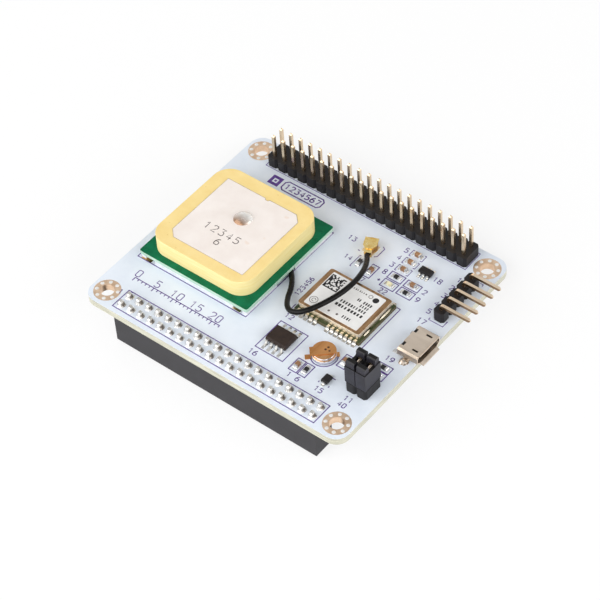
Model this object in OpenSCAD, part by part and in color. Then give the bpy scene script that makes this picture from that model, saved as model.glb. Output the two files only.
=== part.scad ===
// Positioning add-on board with a patch antenna, in millimetres, +Z up.
// The origin is the middle of the four mounting holes, on the underside of the board.

/* [Board] */
// Length of the board along X
board_length = 65; // [64:0.5:75]
// Depth of the board along Y
board_depth = 56.5; // [56:0.5:65]
// Thickness of the board
board_thickness = 1.6; // [1.2:0.1:2]
// Radius of the board's corners
board_corner_radius = 3; // [1:0.25:3.5]
// Distance of a mounting hole's centre from the left or right edge
hole_inset_x = 3.5; // [3:0.05:3.6]
// Distance of a mounting hole's centre from the front or back edge
hole_inset_y = 3.75; // [3.4:0.05:4]
// Bore of a mounting hole
mount_hole_diameter = 3; // [2.6:0.1:3.2]
// Outer diameter of the plated ring round a mounting hole
mount_pad_diameter = 5.7; // [5:0.1:6]
// Bore of the small vias in that ring
mount_via_diameter = 0.5; // [0.3:0.05:0.6]
// Thickness of the plating in and round a mounting hole
plating_thickness = 0.06; // [0.04:0.01:0.12]

/* [Pins] */
// Distance between neighbouring pins
pin_pitch = 2.54; // [2.5:0.01:2.56]
// Side of a square pin
pin_width = 0.64; // [0.5:0.02:0.7]
// Length of the tapered end of a pin
pin_point = 0.35; // [0.2:0.05:0.6]
// Gap between a pin's corner and its drilled hole
pin_hole_clearance = 0.05; // [0.02:0.01:0.1]
// How far a tail reaches below the board
pin_tail_below = 1.4; // [1.2:0.1:2.5]
// Pins along the host socket and along the rear header
header_columns = 20; // [4:2:20]
// Height of a header's plastic base
header_base_height = 2.54; // [2.2:0.02:2.6]
// Depth of the notches between the segments of a base
header_notch = 0.5; // [0.3:0.05:0.7]
// Height of the pin tips above the board
header_pin_top = 8.2; // [7.8:0.1:9]
// Radius of a solder joint on the board
solder_radius = 0.88; // [0.75:0.01:0.95]
// Height of a solder joint
solder_height = 0.95; // [0.6:0.05:1.1]

/* [Host socket] */
// Height of the socket's housing
socket_height = 8.5; // [8:0.1:9]
// Depth of the housing along Y
socket_width = 5; // [4.8:0.05:5.2]
// Housing beyond the end pitch at each end
socket_end_wall = 0.15; // [0:0.05:0.3]
// Thickness of the floor that holds the mouths
socket_floor = 1; // [0.8:0.1:1.4]
// Side of the mouth that guides a pin
socket_mouth = 0.9; // [0.8:0.05:1]
// Side of the wide end of the guide
socket_guide = 1.5; // [1.2:0.05:1.7]
// Width of a fork contact, the same as its cavity
fork_width = 1.5; // [1.4:0.05:1.7]
// Thickness of a fork contact
fork_thickness = 0.7; // [0.66:0.02:0.8]
// Gap between a fork and the two other walls of its cavity
fork_clearance = 0.1; // [0.05:0.01:0.2]
// How far a contact's tail shows above the board
socket_tail_above = 1.25; // [1.15:0.05:1.5]

/* [Antenna] */
// Side of the square antenna board
antenna_board_size = 28; // [27:0.1:28.5]
// Thickness of the antenna board
antenna_board_thickness = 0.8; // [0.6:0.1:1]
// Thickness of the foam pad under it
antenna_pad_thickness = 1.2; // [1.15:0.05:1.5]
// How far the foam pad stays inside the antenna board
antenna_pad_inset = 0.3; // [0.1:0.1:1]
// Side of the ceramic block
ceramic_size = 25; // [24:0.1:26]
// Height of the ceramic block
ceramic_height = 4; // [3:0.1:5]
// Radius of the block's upright corners
ceramic_corner_radius = 4; // [1:0.1:4.5]
// Length of the printed electrode along X
electrode_length = 19.4; // [18:0.1:20.5]
// Depth of the printed electrode along Y
electrode_depth = 19.2; // [18:0.1:20.5]
// Length cut off two opposite corners of the electrode
electrode_trim = 1.6; // [0.5:0.1:3]
// Thickness of the electrode
electrode_thickness = 0.05; // [0.03:0.01:0.1]
// Distance of the feed from the electrode's middle
feed_offset = 2.5; // [1.5:0.1:4]
// Diameter of the feed pin
feed_pin_diameter = 1; // [0.7:0.05:1.3]
// Gap between the feed pin and its bore
feed_clearance = 0.05; // [0.02:0.01:0.15]
// Diameter of the feed's soldered head
feed_head_diameter = 4; // [2.5:0.1:4.5]
// Height of the feed's soldered head
feed_head_height = 0.9; // [0.5:0.05:1.2]

/* [Coax] */
// Diameter of the cable
coax_diameter = 1.13; // [0.9:0.01:1.13]
// Diameter of the plug's head
plug_diameter = 3; // [2.8:0.05:3.3]
// Wall of the plug's head
plug_wall = 0.4; // [0.3:0.05:0.45]
// Height of the plug's top above the board
plug_top = 2.1; // [2:0.05:2.4]
// Distance from the plug's middle to the end of its neck
plug_reach = 2.75; // [2.3:0.05:3]
// Width of the neck at its end
plug_neck_width = 1.5; // [1.3:0.05:1.8]
// Height of the neck's middle above the board
plug_neck_height = 1.3; // [1.2:0.05:1.35]
// Side of the receptacle's base
receptacle_size = 2.6; // [2.4:0.05:3]
// Thickness of the receptacle's base
receptacle_base = 0.4; // [0.3:0.05:0.5]
// Outer diameter of the receptacle's ring
receptacle_ring = 2; // [1.8:0.05:2.05]
// Height of the receptacle's ring above the board
receptacle_height = 1.25; // [1.1:0.05:1.4]

/* [Receiver module] */
// Length of the module along X
module_length = 16; // [15.6:0.1:16.4]
// Depth of the module along Y
module_depth = 12.2; // [11.8:0.1:12.4]
// Thickness of the module's own board
module_board_thickness = 0.8; // [0.6:0.05:1]
// Height of the module above the board
module_height = 2.4; // [2.2:0.05:2.5]
// Distance of the can from the module's ends
can_inset_x = 0.4; // [0.3:0.05:0.6]
// Distance of the can from the module's long sides
can_inset_y = 0.55; // [0.45:0.05:0.7]
// Thickness of the can's sheet
can_wall = 0.2; // [0.1:0.02:0.3]
// Radius of the can's upright corners
can_corner_radius = 0.6; // [0.4:0.05:1]
// Depth of the rim of the can's lid
lid_depth = 0.85; // [0.6:0.05:1]
// How far that lid stands out past the can's frame
lid_overhang = 0.12; // [0.05:0.01:0.15]
// Pitch of the edge contacts
edge_pitch = 1.1; // [1:0.02:1.14]
// Width of an edge solder joint
edge_width = 0.76; // [0.5:0.02:0.8]
// Reach of an edge solder joint outside the module
edge_reach = 0.95; // [0.5:0.05:1]
// Radius of the half holes in the module's edge
edge_radius = 0.28; // [0.15:0.01:0.3]
// Distance of the outer contacts from the module's ends
edge_offset = 1; // [0.8:0.05:1.2]
// Length of the label
label_length = 13; // [11:0.1:14]
// Depth of the label
label_depth = 9.8; // [8:0.1:10]
// Thickness of the label
label_thickness = 0.08; // [0.05:0.01:0.12]

/* [Chips with leads] */
// Length of the memory's body
memory_length = 4.9; // [4.6:0.05:5.1]
// Depth of the memory's body
memory_depth = 3.9; // [3.5:0.05:4.1]
// Height of the memory above the board
memory_height = 1.6; // [1.3:0.05:1.8]
// Distance across the memory's feet
memory_span = 6; // [5.7:0.05:6.4]
// Pitch of the memory's leads
memory_pitch = 1.27; // [1.1:0.01:1.3]
// Width of a memory lead
memory_lead = 0.42; // [0.3:0.02:0.5]
// Length of the regulator's body
regulator_length = 2.9; // [2.7:0.05:3.1]
// Depth of the regulator's body
regulator_depth = 1.6; // [1.4:0.05:1.8]
// Height of the regulator above the board
regulator_height = 1.2; // [1:0.05:1.4]
// Distance across the regulator's feet
regulator_span = 2.8; // [2.6:0.05:3.1]
// Pitch of the regulator's leads
regulator_pitch = 0.95; // [0.8:0.01:1]
// Width of a regulator lead
regulator_lead = 0.4; // [0.3:0.02:0.45]
// Length of the diode's body along Y
diode_length = 2; // [1.7:0.05:2.4]
// Width of the diode's body
diode_width = 1.5; // [1.2:0.05:1.8]
// Height of the diode above the board
diode_height = 1.05; // [0.9:0.05:1.3]
// Distance across the diode's feet
diode_span = 3.2; // [2.9:0.05:3.6]
// Width of a diode lead
diode_lead = 0.6; // [0.4:0.05:0.9]
// Thickness of all bent leads
lead_thickness = 0.18; // [0.12:0.01:0.22]
// Length of a lead's flat foot
foot_length = 0.4; // [0.3:0.02:0.45]
// Gap between a moulded body and the board
body_gap = 0.12; // [0.08:0.01:0.2]

/* [Chip parts] */
// Length of a chip part
chip_length = 1.6; // [1.4:0.05:1.7]
// Width of a chip part
chip_width = 0.8; // [0.7:0.05:0.9]
// Height of a chip capacitor
capacitor_height = 0.8; // [0.6:0.05:0.9]
// Height of a chip resistor
resistor_height = 0.5; // [0.4:0.05:0.6]
// Length of a chip part's end terminal
terminal_length = 0.3; // [0.2:0.02:0.4]

/* [Backup cell] */
// Diameter of the cell
cell_diameter = 5; // [4.5:0.05:5.4]
// Height of the cell itself
cell_height = 1.3; // [1.1:0.05:1.8]
// Thickness of the terminals' sheet
terminal_sheet = 0.15; // [0.1:0.01:0.2]
// Width of the terminals' legs
terminal_leg = 1.1; // [0.8:0.05:1.3]
// Length of the terminals' feet
terminal_foot = 1; // [0.7:0.05:1.2]

/* [Jumpers] */
// Height of a jumper cap
cap_height = 5.9; // [5.6:0.05:6.4]
// Gap left between neighbouring caps
cap_gap = 0.14; // [0.1:0.02:0.3]
// Height of the two raised ends on a cap
cap_end_height = 1.5; // [0.8:0.05:1.8]
// How far those ends are set in from the sides of the cap
cap_end_inset = 0.2; // [0.1:0.05:0.3]
// Width of the dip between the raised ends
cap_dip = 1.9; // [1.4:0.1:2.4]
// Depth of that dip
cap_dip_depth = 1.6; // [0.9:0.05:2]
// Slope on the edges of the raised ends
cap_slope = 0.3; // [0.2:0.05:0.5]
// How far a pin's tip stays below the dip of its cap
cap_tip_gap = 0.25; // [0.1:0.05:0.6]
// Thickness of the spring clip's sheet
clip_sheet = 0.2; // [0.15:0.01:0.24]
// Height of the spring clip
clip_height = 4.1; // [3.5:0.1:4.8]

/* [Power port] */
// Width of the port's shell along Y
port_width = 7.4; // [7.2:0.05:7.6]
// Height of the shell
port_height = 2.5; // [2.4:0.02:2.7]
// Depth of the shell along X
port_depth = 4.8; // [4.6:0.05:5.4]
// Thickness of the shell's sheet
port_sheet = 0.25; // [0.2:0.01:0.3]
// How far the mouth stands out past the board
port_overhang = 0.5; // [0.4:0.05:1]
// How far the lips above and below the mouth flare
port_lip = 0.3; // [0.2:0.02:0.4]
// Reach of the lower lip beyond the mouth
port_lower_lip = 0.7; // [0.3:0.05:0.9]
// Width of the tongue
tongue_width = 3.7; // [3.5:0.05:4]
// Thickness of the tongue
tongue_thickness = 0.6; // [0.5:0.02:0.65]
// Pitch of the port's contacts
port_pitch = 0.65; // [0.6:0.01:0.7]
// Width of a contact
port_contact = 0.35; // [0.25:0.01:0.4]

/* [Side header] */
// Pins of the side header
side_pins = 5; // [2:1:5]
// Distance of its pins from the right edge
side_inset = 3.25; // [2.8:0.05:3.4]
// Height of the bent pins' middle above the board
side_pin_height = 3.5; // [3.4:0.05:4]
// Radius of the bend, to the pin's middle
side_bend_radius = 0.55; // [0.45:0.05:0.6]
// How far the pins stand out past the board
side_pin_out = 3.7; // [3:0.1:6]

/* [Places on the board] */
// Middle of the antenna
antenna_place = [-15.7, 0.3]; // [-16:0.1:1]
// Middle of the ceramic block, from the middle of the antenna
ceramic_place = [-0.2, 0.05]; // [-0.5:0.05:0.5]
// Middle of the electrode on the ceramic
electrode_place = [0.2, -0.3]; // [-0.5:0.1:0.5]
// Middle of the coax plug
plug_place = [7, 15.2]; // [6.5:0.1:15.5]
// Turn of the plug, from -Y towards +X
plug_turn = 23; // [15:1:30]
// Middle of the receiver module
module_place = [12.7, -0.7]; // [-1:0.1:13]
// Middle of the memory
memory_place = [7.65, -14.5]; // [-15:0.1:8]
// Middle of the backup cell
cell_place = [16.8, -12.7]; // [-13:0.1:17.4]
// Turn of the cell's terminals
cell_turn = 43; // [30:1:60]
// Middle of the diode
diode_place = [21.1, -17.4]; // [-18:0.1:22]
// Middle of the jumper block
jumper_place = [27.7, -14.55]; // [-15:0.05:28]
// Middle of the power port along Y
port_place = -0.75; // [-1.5:0.05:0]
// Middle of the side header in front of the back mounting holes
side_place = 10.85; // [10.5:0.05:11.5]
// Middle of the regulator along X, and in front of the back row of chip parts
regulator_place = [20, 3]; // [2.5:0.1:20.5]
// Gap between the rear header and the first row of chip parts
rear_gap = 2.36; // [1.5:0.02:3]
// Distance between the rows of chip parts behind the module
part_row = 2.4; // [1.8:0.05:2.5]

/* [Hidden] */
$fn = 48;
overcut = 0.5;
board_top = board_thickness;
hole_x = board_length / 2 - hole_inset_x;
hole_y = board_depth / 2 - hole_inset_y;
mount_radius = mount_hole_diameter / 2;
mount_pad_radius = mount_pad_diameter / 2;
mount_barrel_radius = mount_radius + plating_thickness;
mount_via_ring = (mount_barrel_radius + mount_pad_radius) / 2;
mount_vias = 8;
pin_hole_radius = pin_width / 2 * sqrt(2) + pin_hole_clearance;
header_rows = 2;
socket_length = header_columns * pin_pitch + 2 * socket_end_wall;
fork_low = socket_floor + 0.3 - socket_height;
antenna_top = board_top + antenna_pad_thickness + antenna_board_thickness;
ceramic_top = antenna_top + ceramic_height;
feed_place = antenna_place + electrode_place + [0, feed_offset];
feed_low = board_top + antenna_pad_thickness - 0.5;
lead_pocket = [[-5.4, 3.8], [-2.6, 3.8], [2, -0.6], [2, -4.2], [-1.6, -4.2], [-5.4, 0.6]];
can_length = module_length - 2 * can_inset_x;
can_depth = module_depth - 2 * can_inset_y;
module_top = board_top + module_board_thickness;
can_top = board_top + module_height;
edge_places = concat(
    [for (i = [0 : 6]) module_length / 2 - edge_offset - i * edge_pitch],
    [for (i = [0 : 4]) edge_offset - module_length / 2 + i * edge_pitch]
);
cap_width = pin_pitch - cap_gap;
cap_length = 2 * pin_pitch - cap_gap;
cap_low = board_top + header_base_height;
clip_half = pin_pitch / 2 + pin_width / 2 + clip_sheet;
port_mouth = board_length / 2 + port_overhang;
port_back = port_mouth - port_depth;
tongue_low = port_height / 2;
side_x = board_length / 2 - side_inset;
cell_low = board_top + terminal_sheet;
cell_top = cell_low + cell_height;

row_back = hole_y - pin_pitch - rear_gap - chip_width / 2;
side_y = hole_y - side_place;

// Each chip part: its middle, and whether it lies along Y
capacitors = [
    [14.1, -17.6, true],
    [19.8, row_back - 3 * part_row, false],
    [15.7, row_back - 2 * part_row, false],
    [15.7, row_back - part_row, false],
    [15.7, row_back, false],
    [10.6, 10.5, true],
    [21, -11.5, true]
];
resistors = [
    [16.2, -17.6, true],
    [15.8, row_back - 3 * part_row, false],
    [19.8, row_back - 4 * part_row, false],
    [27.9, -8.4, false],
    [27.9, -10.5, false]
];
inductor = [7.4, 10.9, true];
indicator = [15.8, row_back - 4 * part_row, false];

// The coax lead's way from under the antenna board to the plug, heights above the board
coax_way = [
    [-4.2, 2.2, 0.6],
    [-3, 1.4, 0.6],
    [-1.7, 0.3, 0.6],
    [-0.3, -1.2, 0.75],
    [1.1, -3.3, 1],
    [2.3, -5.7, 1.3],
    [3.8, -7.8, 1.8],
    [5.4, -8.8, 2.2],
    [7.2, -8.7, 2.8],
    [9, -7.3, 3.5],
    [10.6, -4.8, 4.1],
    [11.8, -1.4, 4.4],
    [12.1, 1.9, 4.2],
    [11.6, 5.4, 3.5],
    [10.4, 8.8, 2.4],
    [9.1, 11.1, 1.6]
];
plug_axis = [sin(plug_turn), -cos(plug_turn)];
coax_end = [
    plug_place[0] + plug_reach * plug_axis[0],
    plug_place[1] + plug_reach * plug_axis[1],
    plug_neck_height
];
coax_points = concat(coax_way, [coax_end + [0.4 * plug_axis[0], 0.4 * plug_axis[1], 0]], [coax_end]);
coax_sides = 8;

// Flat plate with round upright corners, centred, standing on z = 0
module rounded_plate(length, depth, height, radius) {
    linear_extrude(height)
        rounded_outline(length, depth, radius);
}

module rounded_outline(length, depth, radius) {
    square([length - 2 * radius, depth], center = true);
    square([length, depth - 2 * radius], center = true);
    for (x = [-1, 1], y = [-1, 1])
        translate([x * (length / 2 - radius), y * (depth / 2 - radius)])
            circle(radius);
}

// Places for the children
module at_mounts() {
    for (x = [-1, 1], y = [-1, 1])
        translate([x * hole_x, y * hole_y, 0])
            children();
}

module at_grid(columns, rows) {
    for (i = [0 : columns - 1], j = [0 : rows - 1])
        translate([(i - (columns - 1) / 2) * pin_pitch, (j - (rows - 1) / 2) * pin_pitch, 0])
            children();
}

module at_socket() {
    translate([0, -hole_y, 0])
        at_grid(header_columns, header_rows)
            children();
}

module at_rear() {
    translate([0, hole_y, 0])
        at_grid(header_columns, header_rows)
            children();
}

module at_jumper() {
    translate([jumper_place[0], jumper_place[1], 0])
        at_grid(2, 2)
            children();
}

module at_side() {
    translate([side_x, side_y, 0])
        rotate(90)
            at_grid(side_pins, 1)
                rotate(-90)
                    children();
}

module pin_drilling() {
    translate([0, 0, -overcut])
        cylinder(r = pin_hole_radius, h = board_thickness + 2 * overcut);
}

module mount_vias_drilling() {
    for (i = [0 : mount_vias - 1])
        rotate((i + 0.5) * 360 / mount_vias)
            translate([mount_via_ring, 0, -overcut])
                cylinder(d = mount_via_diameter, h = board_thickness + 2 * overcut, $fn = 24);
}

module mount_drilling() {
    translate([0, 0, -overcut])
        cylinder(r = mount_barrel_radius, h = board_thickness + 2 * overcut);
    translate([0, 0, -overcut])
        cylinder(r = mount_pad_radius, h = overcut + plating_thickness);
    translate([0, 0, board_top - plating_thickness])
        cylinder(r = mount_pad_radius, h = overcut + plating_thickness);
    mount_vias_drilling();
}

// White board with every drilled hole
module circuit_board() {
    color([0.92, 0.93, 0.97])
        difference() {
            rounded_plate(board_length, board_depth, board_thickness, board_corner_radius);
            at_mounts()
                mount_drilling();
            at_socket()
                pin_drilling();
            at_rear()
                pin_drilling();
            at_jumper()
                pin_drilling();
            at_side()
                pin_drilling();
        }
}

// Plated spools, flush with both faces of the board
module mounting_pads() {
    color([0.72, 0.5, 0.3])
        at_mounts()
            difference() {
                rotate_extrude()
                    polygon([
                        [mount_radius, 0],
                        [mount_pad_radius, 0],
                        [mount_pad_radius, plating_thickness],
                        [mount_barrel_radius, plating_thickness],
                        [mount_barrel_radius, board_top - plating_thickness],
                        [mount_pad_radius, board_top - plating_thickness],
                        [mount_pad_radius, board_top],
                        [mount_radius, board_top]
                    ]);
                mount_vias_drilling();
            }
}

// Square funnel from a wide end at z = 0 to a narrow end above it
module funnel(wide, narrow, height) {
    intersection() {
        rotate([90, 0, 0])
            linear_extrude(wide, center = true)
                funnel_side(wide, narrow, height);
        rotate([90, 0, 90])
            linear_extrude(wide, center = true)
                funnel_side(wide, narrow, height);
    }
}

module funnel_side(wide, narrow, height) {
    polygon([[-wide / 2, 0], [wide / 2, 0], [narrow / 2, height], [-narrow / 2, height]]);
}

module socket_cavity() {
    translate([-fork_width / 2, -fork_thickness / 2 - fork_clearance, socket_floor - socket_height])
        cube([fork_width, fork_thickness + 2 * fork_clearance, socket_height - socket_floor + overcut]);
    translate([-socket_mouth / 2, -socket_mouth / 2, -socket_height - overcut])
        cube([socket_mouth, socket_mouth, socket_floor + 2 * overcut]);
    translate([0, 0, -socket_height])
        funnel(socket_guide, socket_mouth, socket_floor * 0.6);
}

// Housing of the host socket, against the underside of the board
module socket_housing() {
    color([0.2, 0.2, 0.21])
        difference() {
            translate([-socket_length / 2, -hole_y - socket_width / 2, -socket_height])
                cube([socket_length, socket_width, socket_height]);
            at_socket()
                socket_cavity();
        }
}

module fork_side() {
    half = fork_width / 2;
    polygon([
        [half, -0.2], [half, -1.8], [half - 0.12, -1.9],
        [0.48, fork_low + 1], [0.6, fork_low], [0.4, fork_low], [0.2, fork_low + 1],
        [0.34, -2.2],
        [-0.34, -2.2],
        [-0.2, fork_low + 1], [-0.4, fork_low], [-0.6, fork_low], [-0.48, fork_low + 1],
        [0.12 - half, -1.9], [-half, -1.8], [-half, -0.2]
    ]);
}

// Fork contacts, each with a tail up through the board
module socket_contacts() {
    color([0.78, 0.66, 0.4])
        at_socket() {
            rotate([90, 0, 0])
                linear_extrude(fork_thickness, center = true)
                    fork_side();
            translate([-pin_width / 2, -pin_width / 2, -0.3])
                cube([pin_width, pin_width, board_top + socket_tail_above + 0.3]);
        }
}

// Concave joint round a square tail, standing on z = 0
module solder_joint() {
    narrow = pin_width / 2 * sqrt(2);
    step = solder_radius - narrow;
    difference() {
        rotate_extrude($fn = 24)
            polygon([
                [0, 0],
                [solder_radius, 0],
                [solder_radius - 0.05, solder_height * 0.1],
                [narrow + step * 0.6, solder_height * 0.35],
                [narrow + step * 0.25, solder_height * 0.7],
                [narrow, solder_height],
                [0, solder_height]
            ]);
        translate([-pin_width / 2, -pin_width / 2, -overcut])
            cube([pin_width, pin_width, solder_height + 2 * overcut]);
    }
}

module socket_solder() {
    color([0.82, 0.82, 0.84])
        translate([0, 0, board_top])
            at_socket()
                solder_joint();
}

// Joints under the board, round the tails of the three pin headers
module header_solder() {
    color([0.82, 0.82, 0.84])
        mirror([0, 0, 1]) {
            at_rear()
                solder_joint();
            at_jumper()
                solder_joint();
            at_side()
                solder_joint();
        }
}

// Outline of a header base with notches between its segments
module notched_outline(columns, rows) {
    length = columns * pin_pitch;
    half = rows * pin_pitch / 2;
    front = concat(
        [[-length / 2, header_notch - half]],
        [for (i = [0 : columns - 1], k = [0 : 2])
            [
                i * pin_pitch - length / 2 + [header_notch, pin_pitch - header_notch, pin_pitch][k],
                [0, 0, header_notch][k] - half
            ]]
    );
    back = [for (i = [len(front) - 1 : -1 : 0]) [front[i][0], -front[i][1]]];
    polygon(concat(front, back));
}

module header_base(columns, rows) {
    difference() {
        linear_extrude(header_base_height)
            notched_outline(columns, rows);
        at_grid(columns, rows)
            translate([-pin_width / 2, -pin_width / 2, -overcut])
                cube([pin_width, pin_width, header_base_height + 2 * overcut]);
    }
}

module pin_side(low, high) {
    side = pin_width / 2;
    tip = side * 0.4;
    polygon([
        [-tip, low], [tip, low], [side, low + pin_point], [side, high - pin_point],
        [tip, high], [-tip, high], [-side, high - pin_point], [-side, low + pin_point]
    ]);
}

// Square pin with a tapered point at each end
module square_pin(low, high) {
    intersection() {
        rotate([90, 0, 0])
            linear_extrude(pin_width, center = true)
                pin_side(low, high);
        rotate([90, 0, 90])
            linear_extrude(pin_width, center = true)
                pin_side(low, high);
    }
}

module rear_header_base() {
    color([0.13, 0.12, 0.13])
        translate([0, hole_y, board_top])
            header_base(header_columns, header_rows);
}

module rear_header_pins() {
    color([0.75, 0.6, 0.35])
        at_rear()
            square_pin(-pin_tail_below, board_top + header_pin_top);
}

// Foam pad with a pocket for the lead and two notches at the front edge
module antenna_pad() {
    side = antenna_board_size - 2 * antenna_pad_inset;
    color([0.93, 0.93, 0.9])
        translate([antenna_place[0], antenna_place[1], board_top])
            difference() {
                translate([-side / 2, -side / 2, 0])
                    cube([side, side, antenna_pad_thickness]);
                translate([antenna_board_size / 2, 0, -overcut])
                    linear_extrude(antenna_pad_thickness + 2 * overcut)
                        polygon(lead_pocket);
                for (x = [-1, 1])
                    translate([x * (side / 2 - 2.3) - 1.2, -side / 2 - overcut, -overcut])
                        cube([2.4, 2 + overcut, antenna_pad_thickness + 2 * overcut]);
                translate([feed_place[0] - antenna_place[0], feed_place[1] - antenna_place[1], -overcut])
                    cylinder(d = feed_pin_diameter * 2, h = antenna_pad_thickness + 2 * overcut);
            }
}

module feed_bore() {
    translate([feed_place[0], feed_place[1], 0])
        cylinder(d = feed_pin_diameter + 2 * feed_clearance, h = ceramic_top + 2 * overcut);
}

module antenna_board() {
    color([0.2, 0.62, 0.36])
        difference() {
            translate([antenna_place[0], antenna_place[1], antenna_top - antenna_board_thickness])
                rounded_plate(antenna_board_size, antenna_board_size, antenna_board_thickness, 0.5);
            feed_bore();
        }
}

module antenna_ceramic() {
    color([0.93, 0.76, 0.3])
        difference() {
            translate([
                antenna_place[0] + ceramic_place[0],
                antenna_place[1] + ceramic_place[1],
                antenna_top
            ])
                rounded_plate(ceramic_size, ceramic_size, ceramic_height, ceramic_corner_radius);
            feed_bore();
        }
}

// Printed electrode with two opposite corners cut off and a trimming nick at the back
module antenna_electrode() {
    x = electrode_length / 2;
    y = electrode_depth / 2;
    color([0.93, 0.86, 0.83])
        difference() {
            translate([
                antenna_place[0] + electrode_place[0],
                antenna_place[1] + electrode_place[1],
                ceramic_top
            ])
                linear_extrude(electrode_thickness)
                    polygon([
                        [electrode_trim - x, -y], [x, -y], [x, y - electrode_trim],
                        [x - electrode_trim, y], [1.2, y], [1, y - 0.35], [0.3, y - 0.35],
                        [0.1, y], [-x, y], [-x, electrode_trim - y]
                    ]);
            feed_bore();
        }
}

// Feed pin through the ceramic, with its soldered head on the electrode
module antenna_feed() {
    half = feed_head_diameter / 2;
    pin = feed_pin_diameter / 2;
    round = (half * half + feed_head_height * feed_head_height) / (2 * feed_head_height);
    spread = asin(half / round);
    seat = ceramic_top + electrode_thickness;
    color([0.8, 0.8, 0.82])
        translate([feed_place[0], feed_place[1], 0])
            rotate_extrude()
                polygon(concat(
                    [[0, feed_low], [pin, feed_low], [pin, seat]],
                    [for (i = [6 : -1 : 0])
                        [
                            round * sin(i * spread / 6),
                            seat + feed_head_height - round + round * cos(i * spread / 6)
                        ]]
                ));
}

// Tube of flat-sided rings along the way, each square to the way there
function unit(v) = v / norm(v);
function way_along(w, i) = unit(w[min(i + 1, len(w) - 1)] - w[max(i - 1, 0)]);
function ring_points(w, i, radius) =
    let (
        along = i == len(w) - 1 ? [-plug_axis[0], -plug_axis[1], 0] : way_along(w, i),
        side = unit(cross([0, 0, 1], along)),
        up = cross(along, side)
    )
    [for (k = [0 : coax_sides - 1])
        w[i] + radius * (cos(k * 360 / coax_sides) * side + sin(k * 360 / coax_sides) * up)];

module tube_along(way, radius) {
    rings = len(way);
    polyhedron(
        [for (i = [0 : rings - 1]) each ring_points(way, i, radius)],
        concat(
            [[for (k = [0 : coax_sides - 1]) k]],
            [[for (k = [coax_sides - 1 : -1 : 0]) (rings - 1) * coax_sides + k]],
            [for (i = [0 : rings - 2], k = [0 : coax_sides - 1])
                [
                    i * coax_sides + k,
                    (i + 1) * coax_sides + k,
                    (i + 1) * coax_sides + (k + 1) % coax_sides,
                    i * coax_sides + (k + 1) % coax_sides
                ]]
        )
    );
}

module coax_cable() {
    color([0.07, 0.07, 0.08])
        translate([0, 0, board_top])
            tube_along(coax_points, coax_diameter / 2);
}

// Plug: a cup over the receptacle's ring, and a neck that takes the cable
module coax_plug() {
    half = plug_diameter / 2;
    neck = plug_neck_width / 2;
    low = 2 * plug_neck_height - plug_top + 0.15;
    color([0.85, 0.66, 0.32])
        translate([plug_place[0], plug_place[1], board_top])
            rotate(plug_turn)
                difference() {
                    union() {
                        translate([0, 0, receptacle_base])
                            cylinder(d = plug_diameter, h = plug_top - 0.1 - receptacle_base);
                        translate([0, 0, plug_top - 0.25])
                            linear_extrude(0.25)
                                polygon([
                                    [-half * 0.95, half * 0.9],
                                    [half * 0.95, half * 0.9],
                                    [half * 0.95, -half * 0.55],
                                    [neck * 0.8, -half - 0.3],
                                    [-neck * 0.8, -half - 0.3],
                                    [-half * 0.95, -half * 0.55]
                                ]);
                        translate([0, 0, low])
                            linear_extrude(plug_top - 0.15 - low)
                                polygon([
                                    [-half * 0.8, 0],
                                    [-half * 0.8, -half * 0.6],
                                    [-neck, -half - 0.4],
                                    [-neck, -plug_reach],
                                    [neck, -plug_reach],
                                    [neck, -half - 0.4],
                                    [half * 0.8, -half * 0.6],
                                    [half * 0.8, 0]
                                ]);
                    }
                    translate([0, 0, receptacle_base - overcut])
                        cylinder(
                            d = plug_diameter - 2 * plug_wall,
                            h = receptacle_height - receptacle_base + 0.2 + overcut
                        );
                }
}

module coax_receptacle() {
    color([0.93, 0.9, 0.82])
        translate([plug_place[0], plug_place[1], board_top])
            difference() {
                union() {
                    translate([-receptacle_size / 2, -receptacle_size / 2, 0])
                        cube([receptacle_size, receptacle_size, receptacle_base]);
                    cylinder(d = receptacle_ring, h = receptacle_height);
                }
                translate([0, 0, receptacle_base])
                    difference() {
                        cylinder(d = receptacle_ring - 0.3, h = receptacle_height);
                        translate([0, 0, -overcut])
                            cylinder(d = 0.5, h = receptacle_height - receptacle_base + overcut - 0.15);
                    }
            }
}

// Places along the two long sides of the module, turned outwards
module at_module_edges() {
    translate([module_place[0], module_place[1], board_top])
        for (x = edge_places, turn = [0, 180])
            translate([x, (turn == 0 ? -1 : 1) * module_depth / 2, 0])
                rotate(turn)
                    children();
}

module module_board() {
    color([0.36, 0.4, 0.2])
        difference() {
            translate([
                module_place[0] - module_length / 2,
                module_place[1] - module_depth / 2,
                board_top
            ])
                cube([module_length, module_depth, module_board_thickness]);
            at_module_edges()
                translate([0, 0, -overcut])
                    cylinder(r = edge_radius, h = module_board_thickness + 2 * overcut, $fn = 24);
        }
}

// Joints that fill the half holes and run out on the board
module module_solder() {
    color([0.8, 0.79, 0.76])
        at_module_edges() {
            rotate([90, 0, 90])
                linear_extrude(edge_width, center = true)
                    polygon([
                        [0, 0],
                        [-edge_reach, 0],
                        [-edge_reach, 0.06],
                        [-edge_reach * 0.5, module_board_thickness * 0.22],
                        [-edge_reach * 0.2, module_board_thickness * 0.5],
                        [-edge_reach * 0.1, module_board_thickness],
                        [0, module_board_thickness]
                    ]);
            intersection() {
                cylinder(r = edge_radius, h = module_board_thickness, $fn = 24);
                translate([-edge_width, -overcut / 10, 0])
                    cube([2 * edge_width, edge_width, module_board_thickness]);
            }
        }
}

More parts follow.
